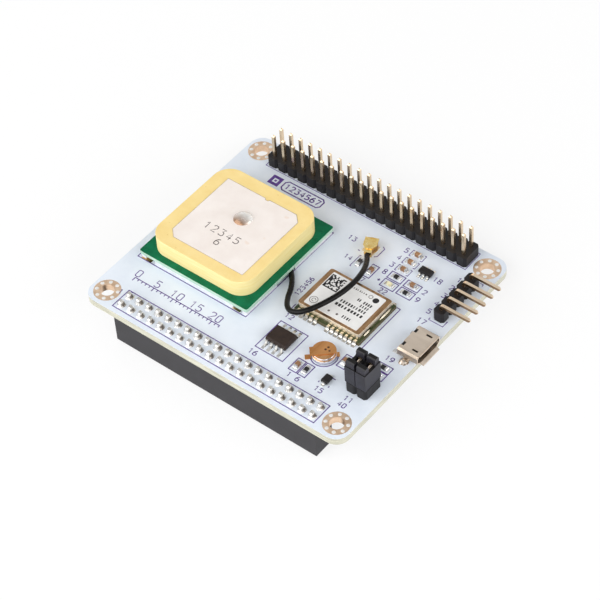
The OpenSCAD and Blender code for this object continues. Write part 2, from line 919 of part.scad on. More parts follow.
// Shield can, open below, with low cut-outs in its short sides
module module_can() {
    high = can_top - module_top;
    frame_length = can_length - 2 * lid_overhang;
    frame_depth = can_depth - 2 * lid_overhang;
    color([0.72, 0.6, 0.44])
        translate([module_place[0], module_place[1], module_top])
            difference() {
                union() {
                    translate([0, 0, high - lid_depth])
                        rounded_plate(can_length, can_depth, lid_depth, can_corner_radius);
                    rounded_plate(
                        frame_length,
                        frame_depth,
                        high - lid_depth / 2,
                        can_corner_radius - lid_overhang
                    );
                }
                translate([0, 0, -overcut])
                    rounded_plate(
                        frame_length - 2 * can_wall,
                        frame_depth - 2 * can_wall,
                        high - can_wall + overcut,
                        max(0.05, can_corner_radius - lid_overhang - can_wall)
                    );
                for (y = [-1, 1])
                    translate([-can_length / 2 - overcut, y * can_depth / 4 - 1.3, -overcut])
                        cube([can_length + 2 * overcut, 2.6, overcut + 0.5]);
            }
}

module module_label() {
    color([0.95, 0.95, 0.94])
        translate([module_place[0], module_place[1], can_top])
            rounded_plate(label_length, label_depth, label_thickness, 0.25);
}

module receiver_chip() {
    color([0.12, 0.12, 0.13])
        translate([module_place[0] - 4.4, module_place[1] - 2.5, module_top])
            cube([5, 5, 0.85]);
}

module reference_oscillator() {
    color([0.75, 0.74, 0.7])
        translate([module_place[0] + 2.2, module_place[1] + 0.6, module_top])
            cube([2.5, 2, 0.8]);
}

module band_filter() {
    color([0.8, 0.78, 0.72])
        translate([module_place[0] + 2.6, module_place[1] - 2.6, module_top])
            cube([1.4, 1.1, 0.6]);
}

// Moulded body with drafted sides and an upright band where the leads leave it
module moulded_side(width, height, draft) {
    half = width / 2;
    middle = (height + body_gap) / 2;
    band = lead_thickness / 2;
    polygon([
        [draft - half, body_gap], [half - draft, body_gap],
        [half, middle - band], [half, middle + band],
        [half - draft, height], [draft - half, height],
        [-half, middle + band], [-half, middle - band]
    ]);
}

module moulded_body(length, depth, height) {
    draft = height * 0.1;
    intersection() {
        rotate([90, 0, 0])
            linear_extrude(depth, center = true)
                moulded_side(length, height, draft);
        rotate([90, 0, 90])
            linear_extrude(length, center = true)
                moulded_side(depth, height, draft);
    }
}

// Gull-wing lead that leaves a body on its -Y side
module bent_lead(depth, span, height, width) {
    start = depth / 2;
    toe = span / 2;
    middle = (height + body_gap) / 2;
    half = lead_thickness / 2;
    knee = start + (toe - foot_length - start) * 0.4;
    rotate([90, 0, -90])
        linear_extrude(width, center = true)
            polygon([
                [start, middle - half],
                [knee, middle - half],
                [toe - foot_length, 0],
                [toe, 0],
                [toe, lead_thickness],
                [toe - foot_length + half, lead_thickness],
                [knee + half, middle + half],
                [start, middle + half]
            ]);
}

module at_memory() {
    translate([memory_place[0], memory_place[1], board_top])
        children();
}

module memory_body() {
    color([0.1, 0.1, 0.11])
        at_memory()
            difference() {
                moulded_body(memory_length, memory_depth, memory_height);
                translate([-memory_length / 2 + 0.85, -memory_depth / 2 + 0.85, memory_height - 0.06])
                    cylinder(d = 0.7, h = 1, $fn = 32);
            }
}

module memory_leads() {
    color([0.8, 0.8, 0.8])
        at_memory()
            for (i = [-1.5 : 1.5], turn = [0, 180])
                rotate(turn)
                    translate([i * memory_pitch, 0, 0])
                        bent_lead(memory_depth, memory_span, memory_height, memory_lead);
}

module at_regulator() {
    translate([regulator_place[0], row_back - regulator_place[1], board_top])
        children();
}

module regulator_body() {
    color([0.1, 0.1, 0.11])
        at_regulator()
            moulded_body(regulator_length, regulator_depth, regulator_height);
}

module regulator_leads() {
    color([0.8, 0.8, 0.8])
        at_regulator() {
            for (i = [-1, 0, 1])
                translate([i * regulator_pitch, 0, 0])
                    bent_lead(regulator_depth, regulator_span, regulator_height, regulator_lead);
            for (i = [-1, 1])
                rotate(180)
                    translate([i * regulator_pitch, 0, 0])
                        bent_lead(regulator_depth, regulator_span, regulator_height, regulator_lead);
        }
}

module at_diode() {
    translate([diode_place[0], diode_place[1], board_top])
        children();
}

module diode_body() {
    color([0.1, 0.1, 0.11])
        at_diode()
            moulded_body(diode_width, diode_length, diode_height);
}

module diode_leads() {
    color([0.8, 0.8, 0.8])
        at_diode()
            for (turn = [0, 180])
                rotate(turn)
                    bent_lead(diode_length, diode_span, diode_height, diode_lead);
}

// Sealed cell with a stepped rim, standing on its base terminal
module backup_cell() {
    radius = cell_diameter / 2;
    color([0.78, 0.78, 0.82])
        translate([cell_place[0], cell_place[1], cell_low])
            rotate_extrude()
                polygon([
                    [0, 0], [radius - 0.15, 0], [radius, 0.15],
                    [radius, cell_height * 0.62], [radius - 0.2, cell_height * 0.72],
                    [radius - 0.3, cell_height * 0.72], [radius - 0.3, cell_height - 0.1],
                    [radius - 0.4, cell_height], [0, cell_height]
                ]);
}

// Strip with a leg that folds down to a foot on the board, in the cell's own directions
module terminal_leg_side(reach, high) {
    rotate([90, 0, 180])
        linear_extrude(terminal_leg, center = true)
            polygon([
                [reach - terminal_sheet, 0],
                [reach + terminal_foot, 0],
                [reach + terminal_foot, terminal_sheet],
                [reach, terminal_sheet],
                [reach, high],
                [reach - terminal_sheet, high]
            ]);
}

module cell_top_terminal() {
    radius = cell_diameter / 2;
    edge = radius + 0.3;
    color([0.75, 0.52, 0.28])
        translate([cell_place[0], cell_place[1], 0])
            rotate(cell_turn) {
                difference() {
                    translate([0, 0, cell_top])
                        linear_extrude(terminal_sheet)
                            difference() {
                                union() {
                                    circle(radius - 0.05);
                                    translate([-edge, -radius * 0.38])
                                        square([edge, radius * 0.88]);
                                }
                                translate([-2 * radius, -3 * radius - radius * 0.38])
                                    square([4 * radius, 3 * radius]);
                            }
                    for (p = [[0.94, 0.74], [0.32, 0.27], [1.05, -0.2]])
                        translate([p[0], p[1], cell_top + terminal_sheet - 0.05])
                            cylinder(d = 0.45, h = 1, $fn = 24);
                }
                translate([0, 0.1, board_top])
                    terminal_leg_side(edge, cell_top + terminal_sheet / 2 - board_top);
            }
}

module cell_base_terminal() {
    radius = cell_diameter / 2;
    color([0.7, 0.62, 0.45])
        translate([cell_place[0], cell_place[1], board_top])
            rotate(cell_turn)
                translate([-radius * 0.6, -terminal_leg / 2, 0])
                    cube([radius * 1.6 + terminal_foot / 2, terminal_leg, terminal_sheet]);
}

module jumper_base() {
    color([0.1, 0.1, 0.1])
        translate([jumper_place[0], jumper_place[1], board_top])
            header_base(2, 2);
}

module jumper_pins() {
    color([0.75, 0.6, 0.35])
        at_jumper()
            square_pin(-pin_tail_below, cap_low + cap_height - cap_dip_depth - cap_tip_gap);
}

module at_cap(side) {
    translate([jumper_place[0] + side * pin_pitch / 2, jumper_place[1], cap_low])
        children();
}

// Cap with a cavity for two pins and the clip, two raised ends and an open dip between them
module jumper_cap(side) {
    cavity = pin_width + 2 * clip_sheet;
    half = cap_length / 2;
    dip = cap_dip / 2;
    tip = half - cap_end_inset;
    floor = cap_height - cap_dip_depth;
    shoulder = cap_height - cap_end_height;
    color([0.08, 0.08, 0.08])
        at_cap(side)
            difference() {
                union() {
                    translate([-cap_width / 2, -half, 0])
                        cube([cap_width, cap_length, shoulder]);
                    rotate([90, 0, 90])
                        linear_extrude(cap_width - 2 * cap_end_inset, center = true)
                            for (y = [-1, 1])
                                polygon([
                                    [y * dip, shoulder - cap_end_inset],
                                    [y * tip, shoulder - cap_end_inset],
                                    [y * tip, cap_height - cap_slope],
                                    [y * (tip - cap_slope), cap_height],
                                    [y * (dip + cap_slope), cap_height],
                                    [y * dip, cap_height - cap_slope]
                                ]);
                }
                translate([-cap_width, -dip, floor])
                    cube([2 * cap_width, 2 * dip, cap_height]);
                translate([-cavity / 2, -clip_half, -overcut])
                    cube([cavity, 2 * clip_half, floor + 0.1 + overcut]);
            }
}

module jumper_clip(side) {
    half = pin_width / 2;
    color([0.78, 0.6, 0.3])
        at_cap(side)
            translate([0, 0, cap_height - cap_dip_depth - clip_height])
                linear_extrude(clip_height) {
                    translate([half, -clip_half])
                        square([clip_sheet, 2 * clip_half]);
                    for (y = [-1, 1], z = [-1, 1])
                        translate([-half, y * pin_pitch / 2 + z * (half + clip_sheet / 2) - clip_sheet / 2])
                            square([2 * half, clip_sheet]);
                }
}

module jumper_cap_left() {
    jumper_cap(-1);
}

module jumper_cap_right() {
    jumper_cap(1);
}

module jumper_clip_left() {
    jumper_clip(-1);
}

module jumper_clip_right() {
    jumper_clip(1);
}

// Outline of the port seen from its mouth, drawn in by an amount
module port_outline(inset) {
    half = port_width / 2 - inset;
    polygon([
        [0.9 + inset / 2 - half - inset / 2, inset],
        [half - 0.9, inset],
        [half, 0.8 + inset / 2],
        [half, port_height - inset - 0.4],
        [half - 0.4, port_height - inset],
        [0.4 - half, port_height - inset],
        [-half, port_height - inset - 0.4],
        [-half, 0.8 + inset / 2]
    ]);
}

// Places the port's own outline, mouth towards +X, children drawn from the back forwards
module at_port(back) {
    translate([back, port_place, board_top])
        rotate([90, 0, 90])
            children();
}

// Sheet shell with a lip at the mouth, latch openings in its top and four legs
module port_lip_side(width, low, reach, rise) {
    translate([port_mouth, port_place, board_top + low])
        rotate([90, 0, 0])
            linear_extrude(width, center = true)
                polygon([
                    [-port_sheet, 0],
                    [0, 0],
                    [reach, rise],
                    [reach, rise + port_sheet],
                    [0, port_sheet],
                    [-port_sheet, port_sheet]
                ]);
}

module port_shell() {
    color([0.78, 0.78, 0.8])
        difference() {
            union() {
                at_port(port_back)
                    linear_extrude(port_depth)
                        port_outline(0);
                port_lip_side(port_width - 1, port_height - port_sheet, port_lip, port_lip);
                port_lip_side(port_width - 2.2, 0, port_lower_lip, -port_lip);
                for (y = [-1, 1])
                    translate([
                        port_back + port_depth * 0.44 - 0.6,
                        port_place + y * (port_width / 2 - port_sheet / 2) - port_sheet / 2,
                        board_top
                    ]) {
                        cube([1.2, port_sheet, 1.4]);
                        translate([0, y > 0 ? 0 : port_sheet - 0.8, 0])
                            cube([1.2, 0.8, port_sheet]);
                    }
            }
            at_port(port_back - overcut)
                linear_extrude(port_depth + overcut)
                    port_outline(port_sheet);
            for (y = [-2, 2])
                translate([port_back - 1, port_place + y - 0.5, board_top + port_height - 2 * port_sheet])
                    cube([1.7, 1, 1]);
            for (y = [-2.3, 2.3])
                translate([
                    port_back + port_depth * 0.54,
                    port_place + y - 0.21,
                    board_top + port_height - 2 * port_sheet
                ])
                    cube([1.4, 0.42, 1]);
        }
}

// Contact strip under the tongue, out at the back and down to the board
module port_contact_side() {
    translate([port_back, port_place, board_top])
        rotate([90, 0, 0])
            linear_extrude(port_contact, center = true)
                polygon([
                    [port_depth - 1, tongue_low], [-0.3, tongue_low], [-0.3, 0.15],
                    [-0.9, 0.15], [-0.9, 0], [-0.15, 0],
                    [-0.15, tongue_low - 0.15], [port_depth - 1, tongue_low - 0.15]
                ]);
}

module at_port_contacts() {
    for (i = [-2 : 2])
        translate([0, i * port_pitch, 0])
            children();
}

module port_insulator() {
    color([0.1, 0.1, 0.1])
        difference() {
            union() {
                at_port(port_back)
                    linear_extrude(1.4)
                        port_outline(port_sheet);
                translate([port_back + 1.2, port_place - tongue_width / 2, board_top + tongue_low])
                    cube([port_depth - 1.9, tongue_width, tongue_thickness]);
            }
            at_port_contacts()
                port_contact_side();
        }
}

module port_contacts() {
    color([0.8, 0.64, 0.35])
        at_port_contacts()
            port_contact_side();
}

module side_header_base() {
    color([0.1, 0.1, 0.1])
        translate([side_x, side_y, board_top])
            rotate(90)
                header_base(side_pins, 1);
}

// Pin up through the base, bent over towards +X
module bent_pin() {
    rise = board_top + side_pin_height - side_bend_radius;
    run = side_inset + side_pin_out - side_bend_radius;
    intersection() {
        square_pin(-pin_tail_below, rise + 2 * pin_point);
        translate([-pin_width, -pin_width, -pin_tail_below - overcut])
            cube([2 * pin_width, 2 * pin_width, pin_tail_below + overcut + rise]);
    }
    translate([side_bend_radius, 0, rise])
        rotate([90, 0, 0])
            rotate(90)
                rotate_extrude(angle = 90)
                    translate([side_bend_radius - pin_width / 2, -pin_width / 2])
                        square(pin_width);
    translate([side_bend_radius, 0, rise + side_bend_radius])
        rotate([0, 90, 0])
            intersection() {
                square_pin(-2 * pin_point, run);
                translate([-pin_width, -pin_width, 0])
                    cube([2 * pin_width, 2 * pin_width, run + overcut]);
            }
}

module side_header_pins() {
    color([0.78, 0.64, 0.4])
        at_side()
            bent_pin();
}

// Places a chip part along X or along Y
module at_chip(chip) {
    translate([chip[0], chip[1], board_top])
        rotate(chip[2] ? 90 : 0)
            children();
}

module chip_body(height) {
    length = chip_length - 2 * terminal_length;
    translate([-length / 2, -chip_width / 2, 0])
        cube([length, chip_width, height]);
}

module chip_ends(height) {
    for (x = [-chip_length / 2, chip_length / 2 - terminal_length])
        translate([x, -chip_width / 2, 0])
            cube([terminal_length, chip_width, height]);
}

module capacitor(i) {
    color([0.55, 0.36, 0.22])
        at_chip(capacitors[i])
            chip_body(capacitor_height);
}

module resistor(i) {
    color([0.12, 0.11, 0.12])
        at_chip(resistors[i])
            chip_body(resistor_height);
}

module inductor_body() {
    color([0.14, 0.13, 0.14])
        at_chip(inductor)
            chip_body(capacitor_height);
}

// Indicator light: a thin carrier with a narrower clear lens
module indicator_light() {
    lens = chip_length - 2 * terminal_length;
    color([0.9, 0.94, 0.82])
        at_chip(indicator) {
            chip_body(resistor_height * 0.5);
            translate([0, 0, resistor_height * 0.5])
                rotate([90, 0, 90])
                    linear_extrude(lens, center = true)
                        polygon([
                            [-chip_width / 2, 0], [chip_width / 2, 0],
                            [chip_width / 2 - 0.08, 0.4], [0.08 - chip_width / 2, 0.4]
                        ]);
        }
}

module chip_terminals() {
    color([0.85, 0.85, 0.85]) {
        for (chip = concat(capacitors, [inductor]))
            at_chip(chip)
                chip_ends(capacitor_height);
        for (chip = resistors)
            at_chip(chip)
                chip_ends(resistor_height);
        at_chip(indicator)
            chip_ends(resistor_height * 0.5);
    }
}

circuit_board();
mounting_pads();
socket_housing();
socket_contacts();
socket_solder();
rear_header_base();
rear_header_pins();
header_solder();
antenna_pad();
antenna_board();
antenna_ceramic();
antenna_electrode();
antenna_feed();
coax_cable();
coax_plug();
coax_receptacle();
module_board();
module_can();
module_label();
module_solder();
receiver_chip();
reference_oscillator();
band_filter();
memory_body();
memory_leads();
backup_cell();
cell_top_terminal();
cell_base_terminal();
diode_body();
diode_leads();
jumper_base();
jumper_pins();
jumper_cap_left();
jumper_cap_right();
jumper_clip_left();
jumper_clip_right();
port_shell();
port_insulator();
port_contacts();
side_header_base();
side_header_pins();
regulator_body();
regulator_leads();
inductor_body();  // inductor
indicator_light();
chip_terminals();
for (i = [1 : len(capacitors)])
    capacitor(i - 1);
for (i = [1 : len(resistors)])
    resistor(i - 1);
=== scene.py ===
import bpy
import bmesh
import math
import random
from mathutils import Matrix, Vector


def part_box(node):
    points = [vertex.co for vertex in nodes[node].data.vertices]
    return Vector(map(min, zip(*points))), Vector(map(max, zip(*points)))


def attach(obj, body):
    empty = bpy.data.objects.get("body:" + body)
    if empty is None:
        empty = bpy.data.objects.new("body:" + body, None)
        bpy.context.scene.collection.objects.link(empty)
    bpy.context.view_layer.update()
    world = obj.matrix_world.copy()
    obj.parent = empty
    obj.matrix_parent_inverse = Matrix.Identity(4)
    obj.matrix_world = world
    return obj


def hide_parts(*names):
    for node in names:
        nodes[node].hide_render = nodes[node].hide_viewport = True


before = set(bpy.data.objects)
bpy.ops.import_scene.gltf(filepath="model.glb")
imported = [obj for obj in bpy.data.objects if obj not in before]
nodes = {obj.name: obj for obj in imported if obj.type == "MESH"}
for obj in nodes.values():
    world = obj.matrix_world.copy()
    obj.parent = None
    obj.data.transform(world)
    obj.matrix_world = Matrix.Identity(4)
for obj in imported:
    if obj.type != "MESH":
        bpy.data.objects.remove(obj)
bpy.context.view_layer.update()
scene = bpy.context.scene
mm = 0.001
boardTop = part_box("circuit_board")[1].z / mm
print("frame loaded:", len(nodes), "nodes")

# camera, solved from the edges and holes of the board
cameraLook = {
    "lens": 137.70,
    "place": (0.20589, -0.23328, 0.33747),
    "right": (0.783179, 0.619957, -0.047781),
    "down": (0.434451, -0.600566, -0.671247),
    "forward": (-0.44484, 0.504948, -0.739692),
}


def makeCamera(look):
    data = bpy.data.cameras.new("photoCamera")
    data.sensor_fit = "HORIZONTAL"
    data.sensor_width = 36
    data.lens = look["lens"]
    data.clip_start = 0.01
    camera = bpy.data.objects.new("photoCamera", data)
    scene.collection.objects.link(camera)
    axes = [Vector(look["right"]), -Vector(look["down"]), -Vector(look["forward"])]
    turn = Matrix([axes[0], axes[1], axes[2]]).transposed().to_4x4()
    camera.matrix_world = Matrix.Translation(Vector(look["place"])) @ turn
    scene.camera = camera


makeCamera(cameraLook)
print("camera set")


# materials: every finish is noise on object coordinates, in metres
def rgb(r, g, b):
    def one(v):
        v = v / 255
        return v / 12.92 if v <= 0.04045 else ((v + 0.055) / 1.055) ** 2.4
    return (one(r), one(g), one(b), 1)


def setInputs(tree, node, inputs):
    # an input given as a socket is linked, any other is set
    for key, value in inputs.items():
        if isinstance(value, bpy.types.NodeSocket):
            tree.links.new(value, node.inputs[key])
        else:
            node.inputs[key].default_value = value


def addNode(tree, kind, inputs=None, **settings):
    node = tree.nodes.new(kind)
    for key, value in settings.items():
        setattr(node, key, value)
    setInputs(tree, node, inputs or {})
    return node


def noiseFrom(tree, coords, scale, detail=3.0, stretch=None):
    if stretch:
        coords = addNode(tree, "ShaderNodeMapping", {"Vector": coords, "Scale": stretch}).outputs["Vector"]
    noise = {"Vector": coords, "Scale": scale, "Detail": detail, "Roughness": 0.55}
    return addNode(tree, "ShaderNodeTexNoise", noise).outputs["Fac"]


def ramp(tree, value, stops):
    node = addNode(tree, "ShaderNodeValToRGB", {"Fac": value})
    band = node.color_ramp
    while len(band.elements) < len(stops):
        band.elements.new(0.5)
    for element, (place, colour) in zip(band.elements, stops):
        element.position = place
        element.color = colour
    return node.outputs["Color"]


def spread(tree, value, low, high, start=0.3, end=0.7):
    limits = {"Value": value, "From Min": start, "From Max": end, "To Min": low, "To Max": high}
    return addNode(tree, "ShaderNodeMapRange", limits).outputs["Result"]


def mixColour(tree, fac, first, second):
    return addNode(tree, "ShaderNodeMix", {0: fac, 6: first, 7: second}, data_type="RGBA").outputs[2]


def partOf(tree, vector, axis):
    return addNode(tree, "ShaderNodeSeparateXYZ", {"Vector": vector}).outputs[axis]


def surfaceNormal(tree):
    return addNode(tree, "ShaderNodeNewGeometry").outputs["Normal"]


def finish(name, low, high, scale=700, rough=(0.4, 0.55), metal=0.0, bump=0.1, bumpScale=5000,
           bumpDepth=0.00002, stretch=None, coat=0.0, specular=0.5, specks=None, extra=None):
    mat = bpy.data.materials.new(name)
    mat.use_nodes = True
    tree = mat.node_tree
    shader = tree.nodes["Principled BSDF"]
    coords = addNode(tree, "ShaderNodeTexCoord").outputs["Object"]
    broad = noiseFrom(tree, coords, scale, 4.0, stretch)
    fine = noiseFrom(tree, coords, bumpScale, 2.0, stretch)
    colour = ramp(tree, broad, [(0.32, low), (0.68, high)])
    if specks:
        speckScale, speckColour, edge = specks
        spot = noiseFrom(tree, coords, speckScale, 1.0)
        mask = ramp(tree, spot, [(edge, (0, 0, 0, 1)), (edge + 0.06, (1, 1, 1, 1))])
        colour = mixColour(tree, mask, colour, speckColour)
    if extra:
        colour = extra(tree, coords, colour)
    height = addNode(tree, "ShaderNodeBump", {"Strength": bump, "Distance": bumpDepth, "Height": fine})
    setInputs(tree, shader, {
        "Base Color": colour, "Roughness": spread(tree, broad, rough[0], rough[1]), "Metallic": metal,
        "Normal": height.outputs["Normal"], "Coat Weight": coat, "Specular IOR Level": specular})
    return mat


def boardEdge(edgeLow, edgeHigh):
    # upright faces show the cut laminate in thin layers
    def extra(tree, coords, colour):
        upright = partOf(tree, surfaceNormal(tree), "Z")
        level = addNode(tree, "ShaderNodeMath", {0: upright, 1: 2.0}, operation="POWER").outputs[0]
        flat = ramp(tree, level, [(0.35, (0, 0, 0, 1)), (0.6, (1, 1, 1, 1))])
        layers = noiseFrom(tree, coords, 900, 2.0, (0.25, 0.25, 9.0))
        cut = ramp(tree, layers, [(0.35, edgeLow), (0.65, edgeHigh)])
        return mixColour(tree, flat, cut, colour)
    return extra


def topTint(tintLow, tintHigh):
    # painted reflection: level faces take a warmer, copper-brown tone than the sides, standing for brown surroundings
    # that they reflect
    def extra(tree, coords, colour):
        level = ramp(tree, partOf(tree, surfaceNormal(tree), "Z"), [(0.6, (0, 0, 0, 1)), (0.85, (1, 1, 1, 1))])
        reflectionTone = ramp(tree, noiseFrom(tree, coords, 1400, 3.0, (1, 0.2, 1)), [(0.35, tintLow), (0.65, tintHigh)])
        return mixColour(tree, level, colour, reflectionTone)
    return extra


def facing(direction, dark, first=0.25, last=0.8):
    # painted reflection and shade: faces turned one way are toned darker, chosen after the reflections in the
    # photograph
    def extra(tree, coords, colour):
        vectors = {0: surfaceNormal(tree), 1: Vector(direction).normalized()}
        along = addNode(tree, "ShaderNodeVectorMath", vectors, operation="DOT_PRODUCT").outputs["Value"]
        return mixColour(tree, spread(tree, along, 0, 1, first, last), colour, dark)
    return extra


def slope(axis, low, high, reflectedColour):
    # painted reflection: a reflected tone at the low end of one axis that fades out along it, in mm
    def extra(tree, coords, colour):
        return mixColour(tree, spread(tree, partOf(tree, coords, axis), 0, 1, low * mm, high * mm), reflectedColour, colour)
    return extra


boardMask = finish("boardMask", rgb(225, 233, 244), rgb(234, 241, 250), 160, (0.34, 0.44), bump=0.12,
                   bumpScale=2600, coat=0.1, specular=0.35,
                   extra=boardEdge(rgb(176, 174, 156), rgb(206, 204, 186)))
printInk = finish("printInk", rgb(82, 54, 130), rgb(108, 80, 154), 1500, (0.5, 0.65), bump=0.15, specular=0.3)
platedRing = finish("platedRing", rgb(226, 192, 160), rgb(246, 218, 190), 900, (0.28, 0.44), 0.95, 0.2, 3500)
tinnedRim = finish("tinnedRim", rgb(240, 238, 234), rgb(252, 251, 249), 1500, (0.3, 0.45), 0.4, 0.2, 3500)
socketPlastic = finish("socketPlastic", rgb(44, 43, 46), rgb(56, 55, 58), 500, (0.5, 0.64), bump=0.25, bumpScale=4200,
                       specular=0.3)
contactPlate = finish("contactPlate", rgb(188, 160, 104), rgb(216, 190, 136), 1200, (0.25, 0.4), 1.0)
solderJoint = finish("solderJoint", rgb(206, 205, 204), rgb(240, 239, 236), 1300, (0.16, 0.34), 1.0, 0.35, 2600,
                     0.00004)
anchorTin = finish("anchorTin", rgb(118, 100, 86), rgb(218, 208, 196), 2200, (0.14, 0.3), 1.0, 0.6, 1800, 0.0001)
# painted reflection shade: the solder cones' flanks turned towards +x are darkened
pinSolder = finish("pinSolder", rgb(226, 224, 221), rgb(250, 249, 246), 1300, (0.2, 0.36), 0.8, 0.3, 2600, 0.00004,
                   extra=facing((1, -0.1, 0), rgb(104, 97, 90), 0.4, 0.85))
headerPlastic = finish("headerPlastic", rgb(19, 17, 19), rgb(30, 28, 30), 700, (0.42, 0.58), bump=0.22,
                       bumpScale=4800, specular=0.3)
pinPlate = finish("pinPlate", rgb(196, 166, 120), rgb(224, 197, 154), 1600, (0.2, 0.34), 1.0, 0.15, 4000,
                  stretch=(1, 1, 0.2))
# painted reflection shade: the rear pins darken towards their lower ends, between 3 and 6 mm, where they reflect the
# black base
rearPlate = finish("rearPlate", rgb(214, 190, 158), rgb(238, 218, 190), 1600, (0.2, 0.34), 1.0, 0.15, 4000,
                   stretch=(1, 1, 0.2), extra=slope("Z", 3.0, 6.0, rgb(196, 168, 134)))
# painted reflection shade: the side pins' front faces, turned towards -y, are darkened
sidePlate = finish("sidePlate", rgb(236, 212, 182), rgb(252, 232, 206), 900, (0.24, 0.36), 1.0, 0.12, 4000,
                   stretch=(0.15, 1, 1), extra=facing((0, -1, 0), rgb(150, 122, 96)))
# white foam tape under the antenna board, toned a little grey as painted shade under the board's edge
padFoam = finish("padFoam", rgb(206, 209, 214), rgb(226, 228, 232), 1400, (0.8, 0.92), bump=0.5, bumpScale=3600,
                 bumpDepth=0.00005)
antennaMask = finish("antennaMask", rgb(0, 96, 62), rgb(6, 114, 78), 500, (0.3, 0.42), bump=0.12,
                     specular=0.15, extra=boardEdge(rgb(150, 190, 168), rgb(196, 220, 204)))
ceramicBody = finish("ceramicBody", rgb(245, 216, 142), rgb(251, 226, 158), 260, (0.58, 0.72), bump=0.3,
                     bumpScale=1900, bumpDepth=0.00003, specular=0.3, specks=(1500, rgb(234, 202, 130), 0.74),
                     extra=boardEdge(rgb(233, 213, 142), rgb(239, 224, 166)))
silverPaste = finish("silverPaste", rgb(241, 231, 224), rgb(248, 240, 234), 220, (0.52, 0.68), 0.0, 0.25, 3000,
                     specular=0.3, specks=(420, rgb(240, 225, 213), 0.72))
pasteRim = finish("pasteRim", rgb(176, 160, 140), rgb(206, 190, 168), 900, (0.5, 0.65), specular=0.3)
# painted reflection: the feed's front side, low in y, takes a brown tone that fades out towards the back
feedSolder = finish("feedSolder", rgb(232, 229, 224), rgb(252, 250, 247), 900, (0.14, 0.3), 0.5, 0.4, 1500, 0.00006,
                    extra=slope("Y", 1.0, 3.0, rgb(150, 116, 90)))
cableJacket = finish("cableJacket", rgb(9, 8, 8), rgb(17, 16, 16), 900, (0.24, 0.34), bump=0.15, bumpScale=3000,
                     specular=0.16)
# painted reflection shade: the plug's faces turned towards +x are darkened to a deeper brass
plugBrass = finish("plugBrass", rgb(240, 196, 100), rgb(255, 236, 172), 1500, (0.14, 0.3), 1.0, 0.5, 1600, 0.00008,
                   extra=facing((1, -0.2, 0), rgb(190, 138, 60)))
receptacleGold = finish("receptacleGold", rgb(214, 196, 160), rgb(236, 222, 192), 1100, (0.3, 0.45), 0.8)
moduleMask = finish("moduleMask", rgb(44, 56, 30), rgb(66, 76, 44), 900, (0.38, 0.5), bump=0.15, specular=0.3,
                    extra=boardEdge(rgb(70, 62, 38), rgb(100, 90, 58)))
# the can's metal, with a painted copper-brown reflection on its level faces
canMetal = finish("canMetal", rgb(226, 208, 180), rgb(246, 232, 208), 420, (0.26, 0.42), 1.0, 0.2, 2600,
                   extra=topTint(rgb(148, 116, 84), rgb(186, 148, 110)))
labelPaper = finish("labelPaper", rgb(228, 227, 225), rgb(237, 236, 234), 500, (0.55, 0.7), bump=0.18, bumpScale=3200,
                    specular=0.3)
labelInk = finish("labelInk", rgb(26, 25, 27), rgb(44, 42, 44), 1600, (0.55, 0.7), specular=0.3)
chipMoulding = finish("chipMoulding", rgb(37, 25, 20), rgb(51, 38, 31), 900, (0.45, 0.6), bump=0.4, bumpScale=4200,
                      bumpDepth=0.00003, specular=0.3)
darkMoulding = finish("darkMoulding", rgb(19, 17, 18), rgb(31, 28, 29), 900, (0.4, 0.55), bump=0.35, bumpScale=4200,
                      bumpDepth=0.00003, specular=0.3)
tinnedLead = finish("tinnedLead", rgb(212, 210, 204), rgb(240, 238, 233), 1200, (0.2, 0.36), 1.0, 0.25, 3000)
canSilver = finish("canSilver", rgb(206, 205, 210), rgb(232, 231, 236), 800, (0.24, 0.36), 1.0)
# the cell's silver plating, with a painted copper-brown reflection on its level faces
cellPlate = finish("cellPlate", rgb(206, 205, 210), rgb(232, 231, 236), 800, (0.24, 0.36), 1.0,
                   extra=topTint(rgb(196, 142, 92), rgb(222, 172, 122)))
# the cell's terminal plates, coloured copper throughout as a painted reflection of brown surroundings
terminalPaintedReflection = finish("terminalPaintedReflection", rgb(190, 130, 76), rgb(218, 160, 104), 700, (0.3, 0.44), 0.9, 0.25, 3200,
                        stretch=(1, 0.25, 1))
canSolder = finish("canSolder", rgb(196, 184, 160), rgb(232, 222, 200), 1300, (0.3, 0.45), 0.7, 0.3, 2600, 0.00004)
edgeTin = finish("edgeTin", rgb(158, 152, 142), rgb(222, 218, 210), 1700, (0.24, 0.4), 0.9, 0.35, 2600, 0.00004)
clipSpring = finish("clipSpring", rgb(238, 216, 196), rgb(253, 238, 222), 1200, (0.18, 0.3), 0.7, 0.15, 3500)
weldMark = finish("weldMark", rgb(70, 44, 28), rgb(110, 74, 48), 2200, (0.4, 0.55), 0.5)
# painted shade: the caps' level top faces are darkened against the sides
capPlastic = finish("capPlastic", rgb(31, 30, 36), rgb(48, 47, 56), 600, (0.36, 0.5), bump=0.2, bumpScale=4000,
                    specular=0.3, extra=facing((0, 0, 1), rgb(13, 11, 11), 0.3, 0.8))
# painted reflection shade: the port shell's faces turned towards -y are darkened
shellNickel = finish("shellNickel", rgb(212, 196, 178), rgb(236, 221, 204), 500, (0.26, 0.4), 1.0, 0.2, 2800,
                     stretch=(0.3, 1, 1), extra=facing((0, -1, 0.15), rgb(180, 165, 149), 0.3, 0.9))
capacitorClay = finish("capacitorClay", rgb(134, 98, 70), rgb(168, 128, 94), 900, (0.45, 0.6), bump=0.25, specular=0.3)
resistorGlaze = finish("resistorGlaze", rgb(22, 20, 22), rgb(36, 34, 35), 900, (0.3, 0.45), bump=0.2, specular=0.35)
inductorClay = finish("inductorClay", rgb(62, 58, 60), rgb(84, 80, 80), 900, (0.5, 0.62), bump=0.3, specular=0.3)
lampResin = finish("lampResin", rgb(236, 226, 176), rgb(247, 240, 206), 700, (0.22, 0.34), bump=0.1, coat=0.4)
goldLand = finish("goldLand", rgb(206, 164, 92), rgb(230, 194, 128), 900, (0.28, 0.4), 1.0)
